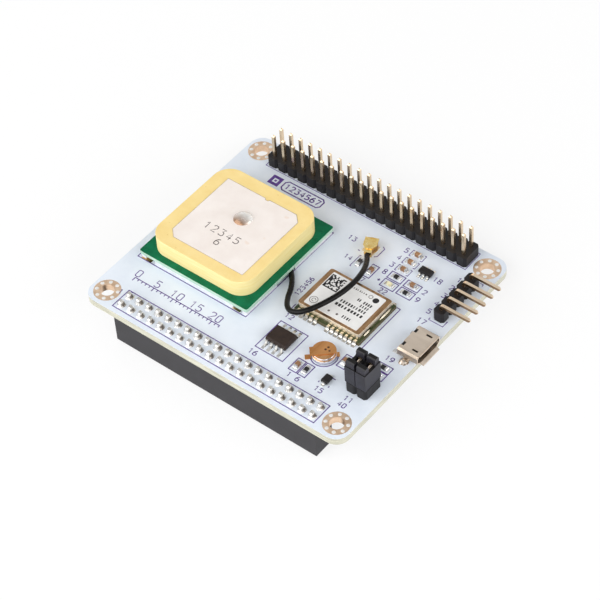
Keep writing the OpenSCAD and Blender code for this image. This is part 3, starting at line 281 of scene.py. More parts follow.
markInk = finish("markInk", rgb(86, 78, 76), rgb(116, 108, 104), 1500, (0.6, 0.75), specular=0.3)
print("finishes made:", len(bpy.data.materials))


# helpers that put a finished mesh on the board
def settle(obj, slot, *replaced):
    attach(obj, "root")
    if replaced:
        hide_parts(*replaced)
    return obj


def meshObject(name, verts, edges=(), faces=()):
    mesh = bpy.data.meshes.new(name)
    mesh.from_pydata(verts, list(edges), list(faces))
    mesh.update()
    obj = bpy.data.objects.new(name, mesh)
    scene.collection.objects.link(obj)
    return obj


def smooth(obj, degrees=32):
    for face in obj.data.polygons:
        face.use_smooth = True
    obj.data.set_sharp_from_angle(angle=math.radians(degrees))


def plainMesh(obj, name):
    # the evaluated result becomes a plain mesh, and the source goes
    graph = bpy.context.evaluated_depsgraph_get()
    mesh = bpy.data.meshes.new_from_object(obj.evaluated_get(graph))
    mesh.name = name
    done = bpy.data.objects.new(name, mesh)
    scene.collection.objects.link(done)
    old = obj.data
    bpy.data.objects.remove(obj)
    if old.users == 0:
        bpy.data.meshes.remove(old)
    done.name = name
    return done


def paint(name, mat):
    obj = nodes[name]
    obj.data.materials.clear()
    obj.data.materials.append(mat)


def dress(name, mat, slot, bevel, segments=2, angle=40):
    # a merged copy of the solid with its edges rounded
    obj = bpy.data.objects.new(name + "Round", nodes[name].data.copy())
    scene.collection.objects.link(obj)
    work = bmesh.new()
    work.from_mesh(obj.data)
    bmesh.ops.remove_doubles(work, verts=work.verts, dist=0.000002)
    bmesh.ops.dissolve_limit(work, angle_limit=math.radians(0.6), verts=work.verts, edges=work.edges)
    work.to_mesh(obj.data)
    work.free()
    obj.data.materials.clear()
    obj.data.materials.append(mat)
    smooth(obj, 30)
    edge = obj.modifiers.new("edgeRounding", "BEVEL")
    edge.width = bevel * mm
    edge.segments = segments
    edge.limit_method = "ANGLE"
    edge.angle_limit = math.radians(angle)
    edge.harden_normals = True
    done = plainMesh(obj, name + "Round")
    return settle(done, slot, name)


# geometry nodes
def newTree(name, sockets):
    tree = bpy.data.node_groups.new(name, "GeometryNodeTree")
    tree.interface.new_socket("Geometry", in_out="INPUT", socket_type="NodeSocketGeometry")
    for label, kind in sockets:
        tree.interface.new_socket(label, in_out="INPUT", socket_type=kind)
    tree.interface.new_socket("Geometry", in_out="OUTPUT", socket_type="NodeSocketGeometry")
    return tree, tree.nodes.new("NodeGroupInput"), tree.nodes.new("NodeGroupOutput")


def runTree(obj, tree, values, name):
    mod = obj.modifiers.new(tree.name, "NODES")
    mod.node_group = tree
    for item in tree.interface.items_tree:
        if item.in_out == "INPUT" and item.name in values:
            mod[item.identifier] = values[item.name]
    return plainMesh(obj, name)


def endTree(tree, end, result, finishSocket):
    # real geometry with its finish on
    real = addNode(tree, "GeometryNodeRealizeInstances", {"Geometry": result}).outputs["Geometry"]
    coat = addNode(tree, "GeometryNodeSetMaterial", {"Geometry": real, "Material": finishSocket})
    setInputs(tree, end, {"Geometry": coat.outputs["Geometry"]})
    return tree


def makeStripTree():
    # flat printed strip of even width along every line
    tree, start, end = newTree("stripAlongLines", [
        ("Width", "NodeSocketFloat"), ("Thickness", "NodeSocketFloat"), ("Ink", "NodeSocketMaterial")])
    given = start.outputs
    line = addNode(tree, "GeometryNodeMeshToCurve", {"Mesh": given["Geometry"]}).outputs["Curve"]
    upright = addNode(tree, "GeometryNodeSetCurveNormal", {"Curve": line}, mode="Z_UP").outputs["Curve"]
    section = addNode(tree, "GeometryNodeCurvePrimitiveQuadrilateral", {
        "Width": given["Width"], "Height": given["Thickness"]}).outputs["Curve"]
    tube = addNode(tree, "GeometryNodeCurveToMesh", {"Curve": upright, "Profile Curve": section, "Fill Caps": True})
    return endTree(tree, end, tube.outputs["Mesh"], given["Ink"])


def makeScatterTree():
    # one shape set on every point, each a little turned and scaled
    tree, start, end = newTree("shapeOnPoints", [
        ("Shape", "NodeSocketObject"), ("Smallest", "NodeSocketFloat"), ("Largest", "NodeSocketFloat"),
        ("Turn", "NodeSocketFloat"), ("Seed", "NodeSocketInt"), ("Finish", "NodeSocketMaterial")])
    given = start.outputs
    shape = addNode(tree, "GeometryNodeObjectInfo", {"Object": given["Shape"]})
    size = addNode(tree, "FunctionNodeRandomValue", {
        2: given["Smallest"], 3: given["Largest"], "Seed": given["Seed"]}, data_type="FLOAT")
    turn = addNode(tree, "FunctionNodeRandomValue", {2: 0, 3: given["Turn"], "Seed": given["Seed"]}, data_type="FLOAT")
    angles = addNode(tree, "ShaderNodeCombineXYZ", {"Z": turn.outputs[1]})
    place = addNode(tree, "GeometryNodeInstanceOnPoints", {
        "Points": given["Geometry"], "Instance": shape.outputs["Geometry"], "Rotation": angles.outputs["Vector"],
        "Scale": size.outputs[1]})
    return endTree(tree, end, place.outputs["Instances"], given["Finish"])


def makeTubeTree():
    # round jacket along a route
    tree, start, end = newTree("tubeAlongRoute", [
        ("Radius", "NodeSocketFloat"), ("Sides", "NodeSocketInt"), ("Jacket", "NodeSocketMaterial")])
    given = start.outputs
    line = addNode(tree, "GeometryNodeMeshToCurve", {"Mesh": given["Geometry"]}).outputs["Curve"]
    ring = addNode(tree, "GeometryNodeCurvePrimitiveCircle", {
        "Radius": given["Radius"], "Resolution": given["Sides"]}).outputs["Curve"]
    tube = addNode(tree, "GeometryNodeCurveToMesh", {"Curve": line, "Profile Curve": ring, "Fill Caps": True})
    return endTree(tree, end, tube.outputs["Mesh"], given["Jacket"])


stripTree = makeStripTree()
scatterTree = makeScatterTree()
tubeTree = makeTubeTree()


def printLines(name, lines, look, mat, slot, height):
    # lines in mm on a level surface
    verts, edges = [], []
    for line in lines:
        first = len(verts)
        verts += [(x * mm, y * mm, (height + look["thickness"] / 2) * mm) for x, y in line]
        edges += [(first + i, first + i + 1) for i in range(len(line) - 1)]
    obj = meshObject(name, verts, edges)
    done = runTree(obj, stripTree, {
        "Width": look["width"] * mm, "Thickness": look["thickness"] * mm, "Ink": mat}, name)
    return settle(done, slot)


def scatter(name, points, shape, look, mat, slot, *replaced):
    obj = meshObject(name, [Vector(p) * mm for p in points])
    done = runTree(obj, scatterTree, {
        "Shape": shape, "Smallest": look["smallest"], "Largest": look["largest"], "Turn": look["turn"],
        "Seed": look["seed"], "Finish": mat}, name)
    old = shape.data
    bpy.data.objects.remove(shape)
    bpy.data.meshes.remove(old)
    smooth(done, look.get("sharp", 50))
    return settle(done, slot, *replaced)


def lathe(name, profile, sides, wobble=0.0, seed=1):
    # profile of (radius, height) in mm from the top end to the bottom end; an open end gets a flat face
    rand = random.Random(seed)
    verts, faces, rings = [], [], []
    for r, z in profile:
        if r < 0.0005:
            rings.append([len(verts)])
            verts.append((0, 0, z * mm))
            continue
        rings.append(list(range(len(verts), len(verts) + sides)))
        for i in range(sides):
            a = 2 * math.pi * i / sides
            rr = r * (1 + wobble * (rand.random() - 0.5))
            verts.append((rr * math.cos(a) * mm, rr * math.sin(a) * mm, z * mm))
    for upper, lower in zip(rings, rings[1:]):
        for i in range(sides):
            j = (i + 1) % sides
            if len(upper) == 1:
                faces.append((upper[0], lower[i], lower[j]))
            elif len(lower) == 1:
                faces.append((upper[i], lower[0], upper[j]))
            else:
                faces.append((upper[i], lower[i], lower[j], upper[j]))
    if len(rings[0]) > 1:
        faces.append(tuple(rings[0]))
    if len(rings[-1]) > 1:
        faces.append(tuple(reversed(rings[-1])))
    return meshObject(name, verts, (), faces)


# the coaxial lead, from under the antenna to its plug; heights above the board
leadLook = {
    "diameter": 1.13,
    "sides": 20,
    "steps": 6,
    "route": [
        (-4.2, 2.2, 0.6), (-3, 1.4, 0.6), (-1.7, 0.3, 0.6), (-0.3, -1.2, 0.75), (1.1, -3.3, 1), (2.3, -5.7, 1.3),
        (3.8, -7.8, 1.8), (5.4, -8.8, 2.2), (7.2, -8.7, 2.8), (9, -7.3, 3.5), (10.6, -4.8, 4.1), (11.8, -1.4, 4.4),
        (12.1, 1.9, 4.2), (11.6, 5.4, 3.5), (10.4, 8.8, 2.4), (9.1, 11.1, 1.6), (8.2308, 12.3004, 1.3),
        (8.0745, 12.6686, 1.3),
    ],
}


def smoothRoute(points, steps):
    # even curve through all the points
    result = []
    for i in range(len(points) - 1):
        p0 = points[max(i - 1, 0)]
        p1, p2 = points[i], points[i + 1]
        p3 = points[min(i + 2, len(points) - 1)]
        for s in range(steps):
            t = s / steps
            result.append(0.5 * ((2 * p1) + (p2 - p0) * t + (2 * p0 - 5 * p1 + 4 * p2 - p3) * t * t
                                 + (3 * p1 - p0 - 3 * p2 + p3) * t * t * t))
    result.append(points[-1])
    return result


def makeLead(look):
    points = [Vector((x, y, z + boardTop)) * mm for x, y, z in look["route"]]
    path = smoothRoute(points, look["steps"])
    line = meshObject("antennaLead", path, [(i, i + 1) for i in range(len(path) - 1)])
    lead = runTree(line, tubeTree, {
        "Radius": look["diameter"] / 2 * mm, "Sides": look["sides"], "Jacket": cableJacket}, "antennaLead")
    smooth(lead, 60)
    settle(lead, "cable_jacket", "coax_cable")


makeLead(leadLook)


# solder on the pin tails, standing on the board over the socket and hanging under it below the headers
jointLook = {
    "profile": [(0, 1.1), (0.26, 1.09), (0.44, 1.0), (0.56, 0.84), (0.63, 0.62), (0.7, 0.4), (0.79, 0.2),
                (0.89, 0.07), (0.96, 0.0)],
    "sides": 16, "smallest": 0.93, "largest": 1.03, "turn": 6.28, "seed": 7,
}


def pinGrid(cx, cy, columns, rows, z, pitch=2.54):
    return [(cx + (i - (columns - 1) / 2) * pitch, cy + (j - (rows - 1) / 2) * pitch, z)
            for j in range(rows) for i in range(columns)]


def headerGrid(z):
    # the tails of the rear header, the side header and the jumper block
    return pinGrid(0, 24.5, 20, 2, z) + pinGrid(29.25, 13.65, 1, 5, z) + pinGrid(27.7, -14.55, 2, 2, z)


def makeJoints(look):
    up = lathe("jointShape", look["profile"], look["sides"], 0.1, 3)
    scatter("socketJoints", pinGrid(0, -24.5, 20, 2, boardTop), up, look, pinSolder, "solder", "socket_solder")
    down = lathe("jointBelow", [(r, -z) for r, z in reversed(look["profile"])], look["sides"], 0.1, 5)
    scatter("headerJoints", headerGrid(0), down, look, solderJoint, "solder", "header_solder")
    ring = lathe("landShape", [(0, 0.03), (0.86, 0.03), (0.93, 0.0)], 20)
    scatter("pinLands", headerGrid(boardTop), ring, dict(look, smallest=1.0, largest=1.0), solderJoint, "solder")


makeJoints(jointLook)
print("solder joints made")


# tinned lands and their solder under the small parts: centre, and the axis that the part lies along
landLook = {"width": 0.95, "rise": 0.42, "foot": 0.35, "thickness": 0.035, "inner": 0.35, "wall": 0.8}
chipPlaces = [
    (14.1, -17.6, "y"), (19.8, 12.0, "x"), (15.7, 14.4, "x"), (15.7, 16.8, "x"), (15.7, 19.2, "x"),
    (10.6, 10.5, "y"), (21.0, -11.5, "y"), (16.2, -17.6, "y"), (15.8, 12.0, "x"), (19.8, 9.6, "x"),
    (27.9, -8.4, "x"), (27.9, -10.5, "x"), (7.4, 10.9, "y"), (15.8, 9.6, "x"),
]


def solidFrom(name, runs, mat, slot):
    # each run is a row of outlines in mm, closed at both ends
    verts, faces = [], []
    for run in runs:
        base, n = len(verts), len(run[0])
        verts += [(x * mm, y * mm, z * mm) for outline in run for x, y, z in outline]
        for i in range(len(run) - 1):
            a = base + i * n
            faces += [(a + k, a + (k + 1) % n, a + n + (k + 1) % n, a + n + k) for k in range(n)]
        faces.append(tuple(base + k for k in reversed(range(n))))
        faces.append(tuple(len(verts) - n + k for k in range(n)))
    obj = meshObject(name, verts, (), faces)
    work = bmesh.new()
    work.from_mesh(obj.data)
    bmesh.ops.recalc_face_normals(work, faces=work.faces)
    work.to_mesh(obj.data)
    work.free()
    obj.data.materials.append(mat)
    smooth(obj, 40)
    return settle(obj, slot)


def makeChipSolder(look):
    runs = []
    low, thick, rise, foot = boardTop, look["thickness"], look["rise"], look["foot"]
    inner, wall = look["inner"], look["wall"]
    outline = [(inner, low), (inner, low + thick), (wall, low + thick), (wall, low + rise),
               (wall + foot * 0.18, low + rise * 0.55), (wall + foot * 0.5, low + rise * 0.2),
               (wall + foot, low + thick), (wall + foot, low)]
    for cx, cy, way in chipPlaces:
        for side in (-1, 1):
            run = []
            for w in (-look["width"] / 2, look["width"] / 2):
                section = []
                for along, z in outline:
                    across = w * (1.0 if z < low + 0.1 else 0.84)
                    dx, dy = (side * along, across) if way == "x" else (-across, side * along)
                    section.append((cx + dx, cy + dy, z))
                run.append(section)
            runs.append(run)
    solidFrom("chipSolder", runs, solderJoint, "solder")


landThickness, memoryPitch, regulatorPitch, portPitch = 0.03, 1.27, 0.95, 0.65
toeLook = {"pitch": memoryPitch, "width": 0.5, "foot": 0.55, "rise": 0.22, "sink": 0.12}


def makeLeadToes(look):
    # solder runs out in front of each foot of the memory
    low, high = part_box("memory_leads")
    middle, runs = (low.y + high.y) / 2 / mm, []
    reach = (high.y - low.y) / 2 / mm - look["sink"]
    outline = [(reach, boardTop), (reach, boardTop + look["rise"]),
               (reach + look["foot"] * 0.4, boardTop + look["rise"] * 0.45), (reach + look["foot"], boardTop)]
    for i in range(4):
        x = (low.x + high.x) / 2 / mm + (i - 1.5) * look["pitch"]
        for side in (-1, 1):
            runs.append([[(x + w, middle + side * along, z) for along, z in outline]
                         for w in (-look["width"] / 2, look["width"] / 2)])
    solidFrom("leadToes", runs, solderJoint, "solder")


def plates(name, rects, thickness, z, mat, slot):
    # thin rectangles: centre x, centre y, length, depth
    verts, faces = [], []
    for cx, cy, w, h in rects:
        b = len(verts)
        for zz in (z, z + thickness):
            verts += [((cx + sx * w / 2) * mm, (cy + sy * h / 2) * mm, zz * mm)
                      for sx, sy in ((-1, -1), (1, -1), (1, 1), (-1, 1))]
        faces += [(b + 3, b + 2, b + 1, b), (b + 4, b + 5, b + 6, b + 7)]
        faces += [(b + i, b + (i + 1) % 4, b + 4 + (i + 1) % 4, b + 4 + i) for i in range(4)]
    obj = meshObject(name, verts, (), faces)
    obj.data.materials.append(mat)
    return settle(obj, slot)


makeChipSolder(landLook)
makeLeadToes(toeLook)
memoryLands = [(7.65 + (i - 1.5) * memoryPitch, -14.5 + s * 3.0, 0.66, 1.6) for i in range(4) for s in (-1, 1)]
regulatorLands = [(20 + (i - 1) * regulatorPitch, 16.2 + s * 1.25, 0.6, 0.95) for i in range(3) for s in (-1, 1)]
plates("tinnedLands", memoryLands + regulatorLands, landThickness, boardTop, solderJoint, "solder")
portLands = [(27.75, -0.75 + i * portPitch, 1.0, 0.38) for i in range(-2, 3)]
portLands += [(27.5, -3.6, 1.6, 0.9), (27.5, 2.1, 1.6, 0.9)]
plates("portLands", portLands, landThickness, boardTop, solderJoint, "solder")
antennaLands = [(-28.05, -13.05, 2.5, 1.3), (-4.7, -13.3, 2.0, 0.5), (-28.05, 13.6, 2.5, 1.0)]
plates("antennaLands", antennaLands, 0.02, boardTop, goldLand, "plated_copper")
moduleEdge = {"x": 12.7, "front": -6.8, "back": 5.4, "inset": 0.27, "width": 0.54, "depth": 0.5,
              "end": 7.0, "pitch": 1.1, "rightCount": 7, "leftCount": 5}
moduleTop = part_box("module_board")[1].z / mm


def makeModuleLands(look):
    # tin from each half hole at the edge up to the can
    along = [look["end"] - i * look["pitch"] for i in range(look["rightCount"])]
    along += [i * look["pitch"] - look["end"] for i in range(look["leftCount"])]
    rows = (look["front"] + look["inset"], look["back"] - look["inset"])
    rects = [(look["x"] + px, y, look["width"], look["depth"]) for px in along for y in rows]
    plates("moduleLands", rects, landThickness, moduleTop, canSolder, "solder")


makeModuleLands(moduleEdge)
seamLook = {"runs": ((-4.7, -2.7), (0.5, 4.2)), "wall": 20.28, "foot": 0.26, "rise": 0.36, "steps": 14}


def makeCanSeams(look):
    # fillets of solder between the can's right wall and the module's board
    runs = []
    for y0, y1 in look["runs"]:
        run = []
        for i in range(look["steps"] + 1):
            t = i / look["steps"]
            full = min(1.0, 0.25 + 3.0 * min(t, 1 - t)) * (0.88 + 0.12 * math.sin(i * 2.3))
            foot, rise = look["foot"] * full, look["rise"] * full
            run.append([(look["wall"] + along, y0 + (y1 - y0) * t, moduleTop + up)
                        for along, up in ((0, 0), (foot, 0), (foot * 0.55, rise * 0.3), (0, rise))])
        runs.append(run)
    solidFrom("canSeams", runs, canSolder, "solder")


makeCanSeams(seamLook)
print("lands made")


# printed lines and plain numerals on the board
inkLook = {"width": 0.2, "thickness": 0.02}
digitStrokes = {
    "0": [[(.12, 0), (.48, 0), (.6, .16), (.6, .84), (.48, 1), (.12, 1), (0, .84), (0, .16), (.12, 0)]],
    "1": [[(.1, .78), (.34, 1), (.34, 0)]],
    "2": [[(0, .82), (.12, 1), (.48, 1), (.6, .85), (.6, .64), (0, 0), (.62, 0)]],
    "3": [[(0, 1), (.6, 1), (.28, .6), (.48, .58), (.6, .42), (.6, .15), (.48, 0), (.1, 0), (0, .12)]],
    "4": [[(.45, 0), (.45, 1), (0, .3), (.64, .3)]],
    "5": [[(.56, 1), (.06, 1), (.02, .58), (.42, .6), (.6, .44), (.6, .16), (.45, 0), (.1, 0), (0, .1)]],
    "6": [[(.5, 1), (.2, .85), (0, .5), (0, .15), (.12, 0), (.48, 0), (.6, .15), (.6, .42), (.48, .56), (.1, .56),
           (0, .44)]],
    "7": [[(0, 1), (.6, 1), (.22, 0)]],
    "8": [[(.3, .54), (.08, .6), (.03, .88), (.13, 1), (.47, 1), (.57, .88), (.52, .6), (.3, .54), (.08, .48),
           (0, .14), (.12, 0), (.48, 0), (.6, .14), (.52, .48), (.3, .54)]],
    "9": [[(.1, 0), (.4, .15), (.6, .5), (.6, .85), (.48, 1), (.12, 1), (0, .85), (0, .58), (.12, .44), (.5, .44),
           (.6, .56)]],
    "+": [[(.05, .5), (.6, .5)], [(.325, .22), (.325, .78)]],
}


def numerals(text, x, y, height, turn=0.0, gap=0.95):
    # centred on x, y
    lines, pen = [], 0.0
    for sign in text:
        for stroke in digitStrokes.get(sign, []):
            lines.append([((px + pen) * height, py * height) for px, py in stroke])
        pen += gap
    shift = (pen - gap + 0.6) * height / 2
    c, s = math.cos(turn), math.sin(turn)
    return [[(x + (px - shift) * c - (py - height / 2) * s, y + (px - shift) * s + (py - height / 2) * c)
             for px, py in line] for line in lines]


def frameLines(x0, y0, x1, y1, width=0.17):
    h = width / 2
    return [[(x0 - h, y0), (x1 + h, y0)], [(x1, y0), (x1, y1)], [(x1 + h, y1), (x0 - h, y1)], [(x0, y1), (x0, y0)]]


def ringLine(cx, cy, r, first=0, last=360, count=40):
    return [[(cx + r * math.cos(math.radians(first + (last - first) * i / count)),
              cy + r * math.sin(math.radians(first + (last - first) * i / count))) for i in range(count + 1)]]


def boardPrint():
    lines = frameLines(-25.4, -27.04, 25.4, -21.96)
    lines += frameLines(-30.2, -13.8, -2.0, 14.4)
    lines += frameLines(4.3, -18.6, 11.1, -10.5)
    for box in [(13.1, -19.3, 15.0, -16.0), (15.3, -19.3, 17.1, -16.0), (14.1, 11.0, 17.4, 13.0),
                (14.1, 8.5, 17.4, 10.6), (18.1, 11.0, 21.5, 12.9), (18.1, 8.6, 21.5, 10.6),
                (9.8, 8.6, 11.4, 12.2), (26.0, -9.3, 29.6, -7.5), (26.0, -11.4, 29.6, -9.5), (20.1, -13.2, 21.9, -9.8)]:
        lines += frameLines(*box)
    for y in (14.4, 16.8, 19.2):  # open ended outlines of the rear row
        lines += [[(14.5, y - 0.85), (14.1, y - 0.85), (14.1, y + 0.85), (14.5, y + 0.85)],
                  [(16.9, y - 0.85), (17.3, y - 0.85), (17.3, y + 0.85), (16.9, y + 0.85)]]
    lines += ringLine(16.8, -12.7, 2.72, 232, 402, 36)
    lines += [[(21.5, 5.6), (21.5, -6.9)], [(20.6, 5.6), (21.5, 5.6)], [(3.9, -6.9), (3.9, -5.4)]]
    lines += [[(27.5, 7.3), (27.5, 6.75), (30.9, 6.75), (30.9, 8.4)],
              [(27.5, 20.0), (27.5, 20.5), (30.9, 20.5), (30.9, 20.0)]]
    lines += [[(4.9, 13.6), (5.4, 13.6)], [(8.7, 13.9), (9.2, 14.3), (9.2, 16.8), (8.6, 17.2)],
              [(4.9, 16.9), (5.5, 17.3)]]
    lines += [[(19.9, -16.2), (22.3, -16.2)], [(19.9, -18.6), (19.9, -18.2)], [(22.3, -18.6), (22.3, -18.2)]]
    lines += [[(6.5, 9.2), (6.2, 9.2), (6.2, 12.6), (6.5, 12.6)]]
    lines += [[(-25.4, -22.9), (-24.4, -21.96)],
              [(25.0, 27.0), (25.55, 27.0), (25.55, 21.75), (-25.55, 21.75), (-25.55, 27.0)]]
    return lines


def plateFrame(x0, y0, x1, y1, cut):
    return [[(x0 + cut, y0), (x1 - cut, y0), (x1, y0 + cut), (x1, y1 - cut), (x1 - cut, y1), (x0 + cut, y1),
             (x0, y1 - cut), (x0, y0 + cut), (x0 + cut, y0), (x0 + cut + 0.2, y0)]]


designators = [
    ("13", 2.02, 15.54, 1.3), ("14", 4.5, 10.9, 1.2), ("5", 13.0, 19.2, 1.35), ("4", 12.9, 16.8, 1.35),
    ("3", 12.9, 14.4, 1.35), ("8", 12.9, 12.0, 1.35), ("22", 15.7, 7.5, 1.25), ("2", 22.7, 12.0, 1.35),
    ("9", 22.7, 9.6, 1.35), ("18", 22.9, 16.1, 1.35), ("+", 13.2, 9.5, 1.3), ("1", 26.3, 18.73, 1.35),
    ("2", 26.3, 16.19, 1.35), ("3", 26.3, 13.65, 1.35), ("4", 26.3, 11.11, 1.35), ("5", 26.3, 8.57, 1.35),
    ("17", 26.6, 5.6, 1.35), ("12", 4.9, -8.6, 1.3), ("16", 4.9, -20.0, 1.35), ("1", 14.1, -20.3, 1.3),
    ("6", 16.2, -20.3, 1.3), ("15", 21.1, -20.0, 1.3), ("11", 27.2, -18.6, 1.3), ("20", 24.6, -8.4, 1.2),
    ("21", 24.6, -10.5, 1.2), ("1", -26.6, -23.2, 1.3), ("40", 27.0, -20.4, 1.2), ("19", 27.5, -5.9, 1.3),
    ("7", 10.6, 7.6, 1.2),
]


def scalePrint(x, y, length):
    # a plain millimetre scale with its numbers
    lines = [[(x, y), (x + length, y)]]
    for i in range(length + 1):
        lines.append([(x + i, y), (x + i, y - (0.95 if i % 5 == 0 else 0.55))])
    for i in range(0, length + 1, 5):
        lines += numerals(str(i), x + i, y + 1.25, 1.75)
    return lines


marks = boardPrint() + scalePrint(-26.7, -18.6, 22)
for text, x, y, size in designators:
    marks += numerals(text, x, y, size * 0.88)
marks += numerals("123456", 2.3, -0.6, 1.0, math.radians(90))
printLines("boardPrint", marks, inkLook, printInk, "board_mask", boardTop)
bold = numerals("1234567", -13.85, 19.3, 1.35, gap=0.98) + plateFrame(-18.9, 17.95, -8.8, 20.65, 0.6)
printLines("platePrint", bold, {"width": 0.3, "thickness": 0.02}, printInk, "board_mask", boardTop)
plates("printSquare", [(-21.0, 18.35, 2.6, 0.7), (-21.0, 20.25, 2.6, 0.7), (-21.95, 19.3, 0.7, 1.2),
                       (-20.05, 19.3, 0.7, 1.2), (-21.0, 19.3, 0.5, 0.5)], 0.02, boardTop, printInk, "board_mask")

# outlines and pin numbers underneath, turned to read from below
underFrames = [(-25.55, 21.75, 25.55, 27.25), (27.75, 7.2, 30.75, 20.1), (25.0, -17.3, 30.4, -11.8)]
underNumbers = [("1", -24.1, 20.6), ("20", 24.1, 20.6), ("1", 26.8, 18.7), ("5", 26.8, 8.6), ("11", 27.7, -10.6)]
underMarks = [line for box in underFrames for line in frameLines(*box)]
for text, x, y in underNumbers:
    underMarks += [[(2 * x - px, py) for px, py in line] for line in numerals(text, x, y, 1.2)]
printLines("underPrint", underMarks, inkLook, printInk, "board_mask", -inkLook["thickness"])
print("board print made, lines:", len(marks) + len(underMarks))


# tented vias on both boards
viaLook = {"smallest": 0.9, "largest": 1.1, "turn": 6.28, "seed": 21}
evenLook = dict(viaLook, smallest=1, largest=1)
boardVias = [(0.75, -13.5), (1.5, -13.0), (2.6, 7.3), (1.2, 8.6), (24.3, -3.2), (24.3, 1.8), (23.4, -6.6),
             (12.1, -21.0), (18.6, -20.6), (24.4, 20.6), (10.9, 20.4), (-0.4, 19.2), (-5.9, 17.3), (-25.2, 17.2),
             (-28.6, 18.6), (-30.6, -16.4), (-2.2, -19.6), (2.3, -17.2), (23.8, 14.1), (30.7, -5.8), (30.9, 4.6),
             (13.0, 21.2)]
greenVias = [(-3.29, -10.7), (-3.24, -12.55), (-4.53, -12.77), (-2.91, 11.79), (-2.5, 9.62), (-5.99, -12.5),
             (-28.7, -12.6), (-28.9, 12.9), (-27.0, 13.4)]


def viaShape(name, outer, inner):
    return lathe(name, [(0, 0.004), (inner, 0.004), (inner + 0.05, 0.02), (outer - 0.06, 0.02), (outer, 0.0)], 18)


def mountVias(z):
    # tin on the small vias round the four mounting holes
    ringRadius, holeX, holeY = 2.225, 29, 24.5
    turns = [math.radians(22.5 + 45 * i) for i in range(8)]
    return [(sx * holeX + ringRadius * math.cos(a), sy * holeY + ringRadius * math.sin(a), z)
            for sx in (-1, 1) for sy in (-1, 1) for a in turns]


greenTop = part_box("antenna_board")[1].z / mm
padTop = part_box("mounting_pads")[1].z / mm
rimShape = lathe("rimShape", [(0, 0.05), (0.2, 0.045), (0.33, 0.03), (0.4, 0.0)], 20)
scatter("mountViaRims", mountVias(padTop), rimShape, evenLook, tinnedRim, "plated_copper")
scatter("boardVias", [(x, y, boardTop) for x, y in boardVias], viaShape("viaA", 0.36, 0.15), viaLook, boardMask,
        "board_mask")
underVia = lathe("viaC", [(0.36, 0.0), (0.3, -0.02), (0.2, -0.02), (0.15, -0.004), (0, -0.004)], 18)
scatter("underVias", [(x, y, 0) for x, y in boardVias], underVia, viaLook, boardMask, "board_mask")
scatter("antennaVias", [(x, y, greenTop) for x, y in greenVias], viaShape("viaB", 0.5, 0.2), viaLook, antennaMask,
        "antenna_mask")


# print on the module's label: a made-up block of cells, dots, rings and dashes
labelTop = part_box("module_label")[1].z / mm
codeLook = {"corner": (6.4, 0.0), "size": (3.5, 3.7), "cells": 12, "seed": 11}


def makeCode(look):
    rand = random.Random(look["seed"])
    n = look["cells"]
    sx, sy = look["size"][0] / n, look["size"][1] / n
    rects = []
    for j in range(n):
        run = None
        for i in range(n + 1):
            on = i < n and (i == 0 or j == 0 or rand.random() < 0.5)
            if on and run is None:
                run = i
            if not on and run is not None:
                w = (i - run) * sx
                rects.append((look["corner"][0] + run * sx + w / 2, look["corner"][1] + (j + 0.5) * sy, w, sy))
                run = None
    return plates("labelCode", rects, 0.008, labelTop, labelInk, "label_paper")


def dashes(x0, x1, y, marksIn, seed):
    rand = random.Random(seed)
    step = (x1 - x0) / marksIn
    return [[(x0 + i * step + 0.1, y), (x0 + (i + 0.55 + 0.3 * rand.random()) * step, y)] for i in range(marksIn)]


makeCode(codeLook)
thick = dashes(11.4, 18.2, -2.2, 9, 2) + dashes(11.8, 18.1, -1.0, 10, 3)
thick += dashes(15.8, 18.0, 0.05, 4, 4) + dashes(15.9, 18.0, 1.05, 4, 5) + dashes(14.4, 15.3, 1.1, 2, 6)
thick += dashes(14.6, 16.8, -4.2, 4, 7)
printLines("labelDashes", thick, {"width": 0.72, "thickness": 0.01}, labelInk, "label_paper", labelTop)
thin = dashes(11.9, 15.3, 3.1, 7, 8)
printLines("labelFineDashes", thin, {"width": 0.34, "thickness": 0.01}, markInk, "label_paper", labelTop)
rings = ringLine(16.2, 3.1, 0.42, 0, 360, 24) + ringLine(7.5, -4.0, 0.85, 0, 360, 28)
rings += ringLine(7.5, -4.0, 0.4, 20, 300, 18)
printLines("labelRings", rings, {"width": 0.12, "thickness": 0.01}, markInk, "label_paper", labelTop)
dotShape = lathe("dotShape", [(0, 0.01), (0.66, 0.01), (0.68, 0.0)], 28)
scatter("labelDots", [(17.6, 2.85, labelTop)], dotShape, evenLook, labelInk, "label_paper")
spotShape = lathe("spotShape", [(0, 0.01), (0.24, 0.01), (0.25, 0.0)], 16)
scatter("labelSpots", [(13.55, -4.4, labelTop), (11.66, -4.55, labelTop)], spotShape, viaLook, markInk, "label_paper")

# marks on the antenna: the paste's darker rim and plain numbers
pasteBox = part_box("antenna_electrode")
pasteTop = pasteBox[1].z / mm
x0, y0, x1, y1 = pasteBox[0].x / mm, pasteBox[0].y / mm, pasteBox[1].x / mm, pasteBox[1].y / mm
printLines("electrodeNumbers", numerals("12345", -16.4, -3.0, 1.7, 0, 1.12) + numerals("6", -15.6, -5.5, 1.6),
           {"width": 0.2, "thickness": 0.008}, markInk, "silver_paste", pasteTop)
trim, mid = 1.6, (x0 + x1) / 2
rimPath = [(x0 + trim, y0), (x1, y0), (x1, y1 - trim), (x1 - trim, y1), (mid + 1.2, y1), (mid + 1, y1 - 0.35),
           (mid + 0.3, y1 - 0.35), (mid + 0.1, y1), (x0, y1), (x0, y0 + trim), (x0 + trim, y0)]
printLines("electrodeRim", [rimPath], {"width": 0.12, "thickness": 0.006}, pasteRim, "silver_paste", pasteTop)
weldShape = lathe("weldShape", [(0, 0.02), (0.2, 0.018), (0.24, 0.0)], 14)
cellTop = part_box("cell_top_terminal")[1].z / mm
weldLook = {"centre": (16.8, -12.7), "turn": math.radians(43), "places": [(0.94, 0.74), (0.32, 0.27), (1.05, -0.2)]}
weldPlaces = []
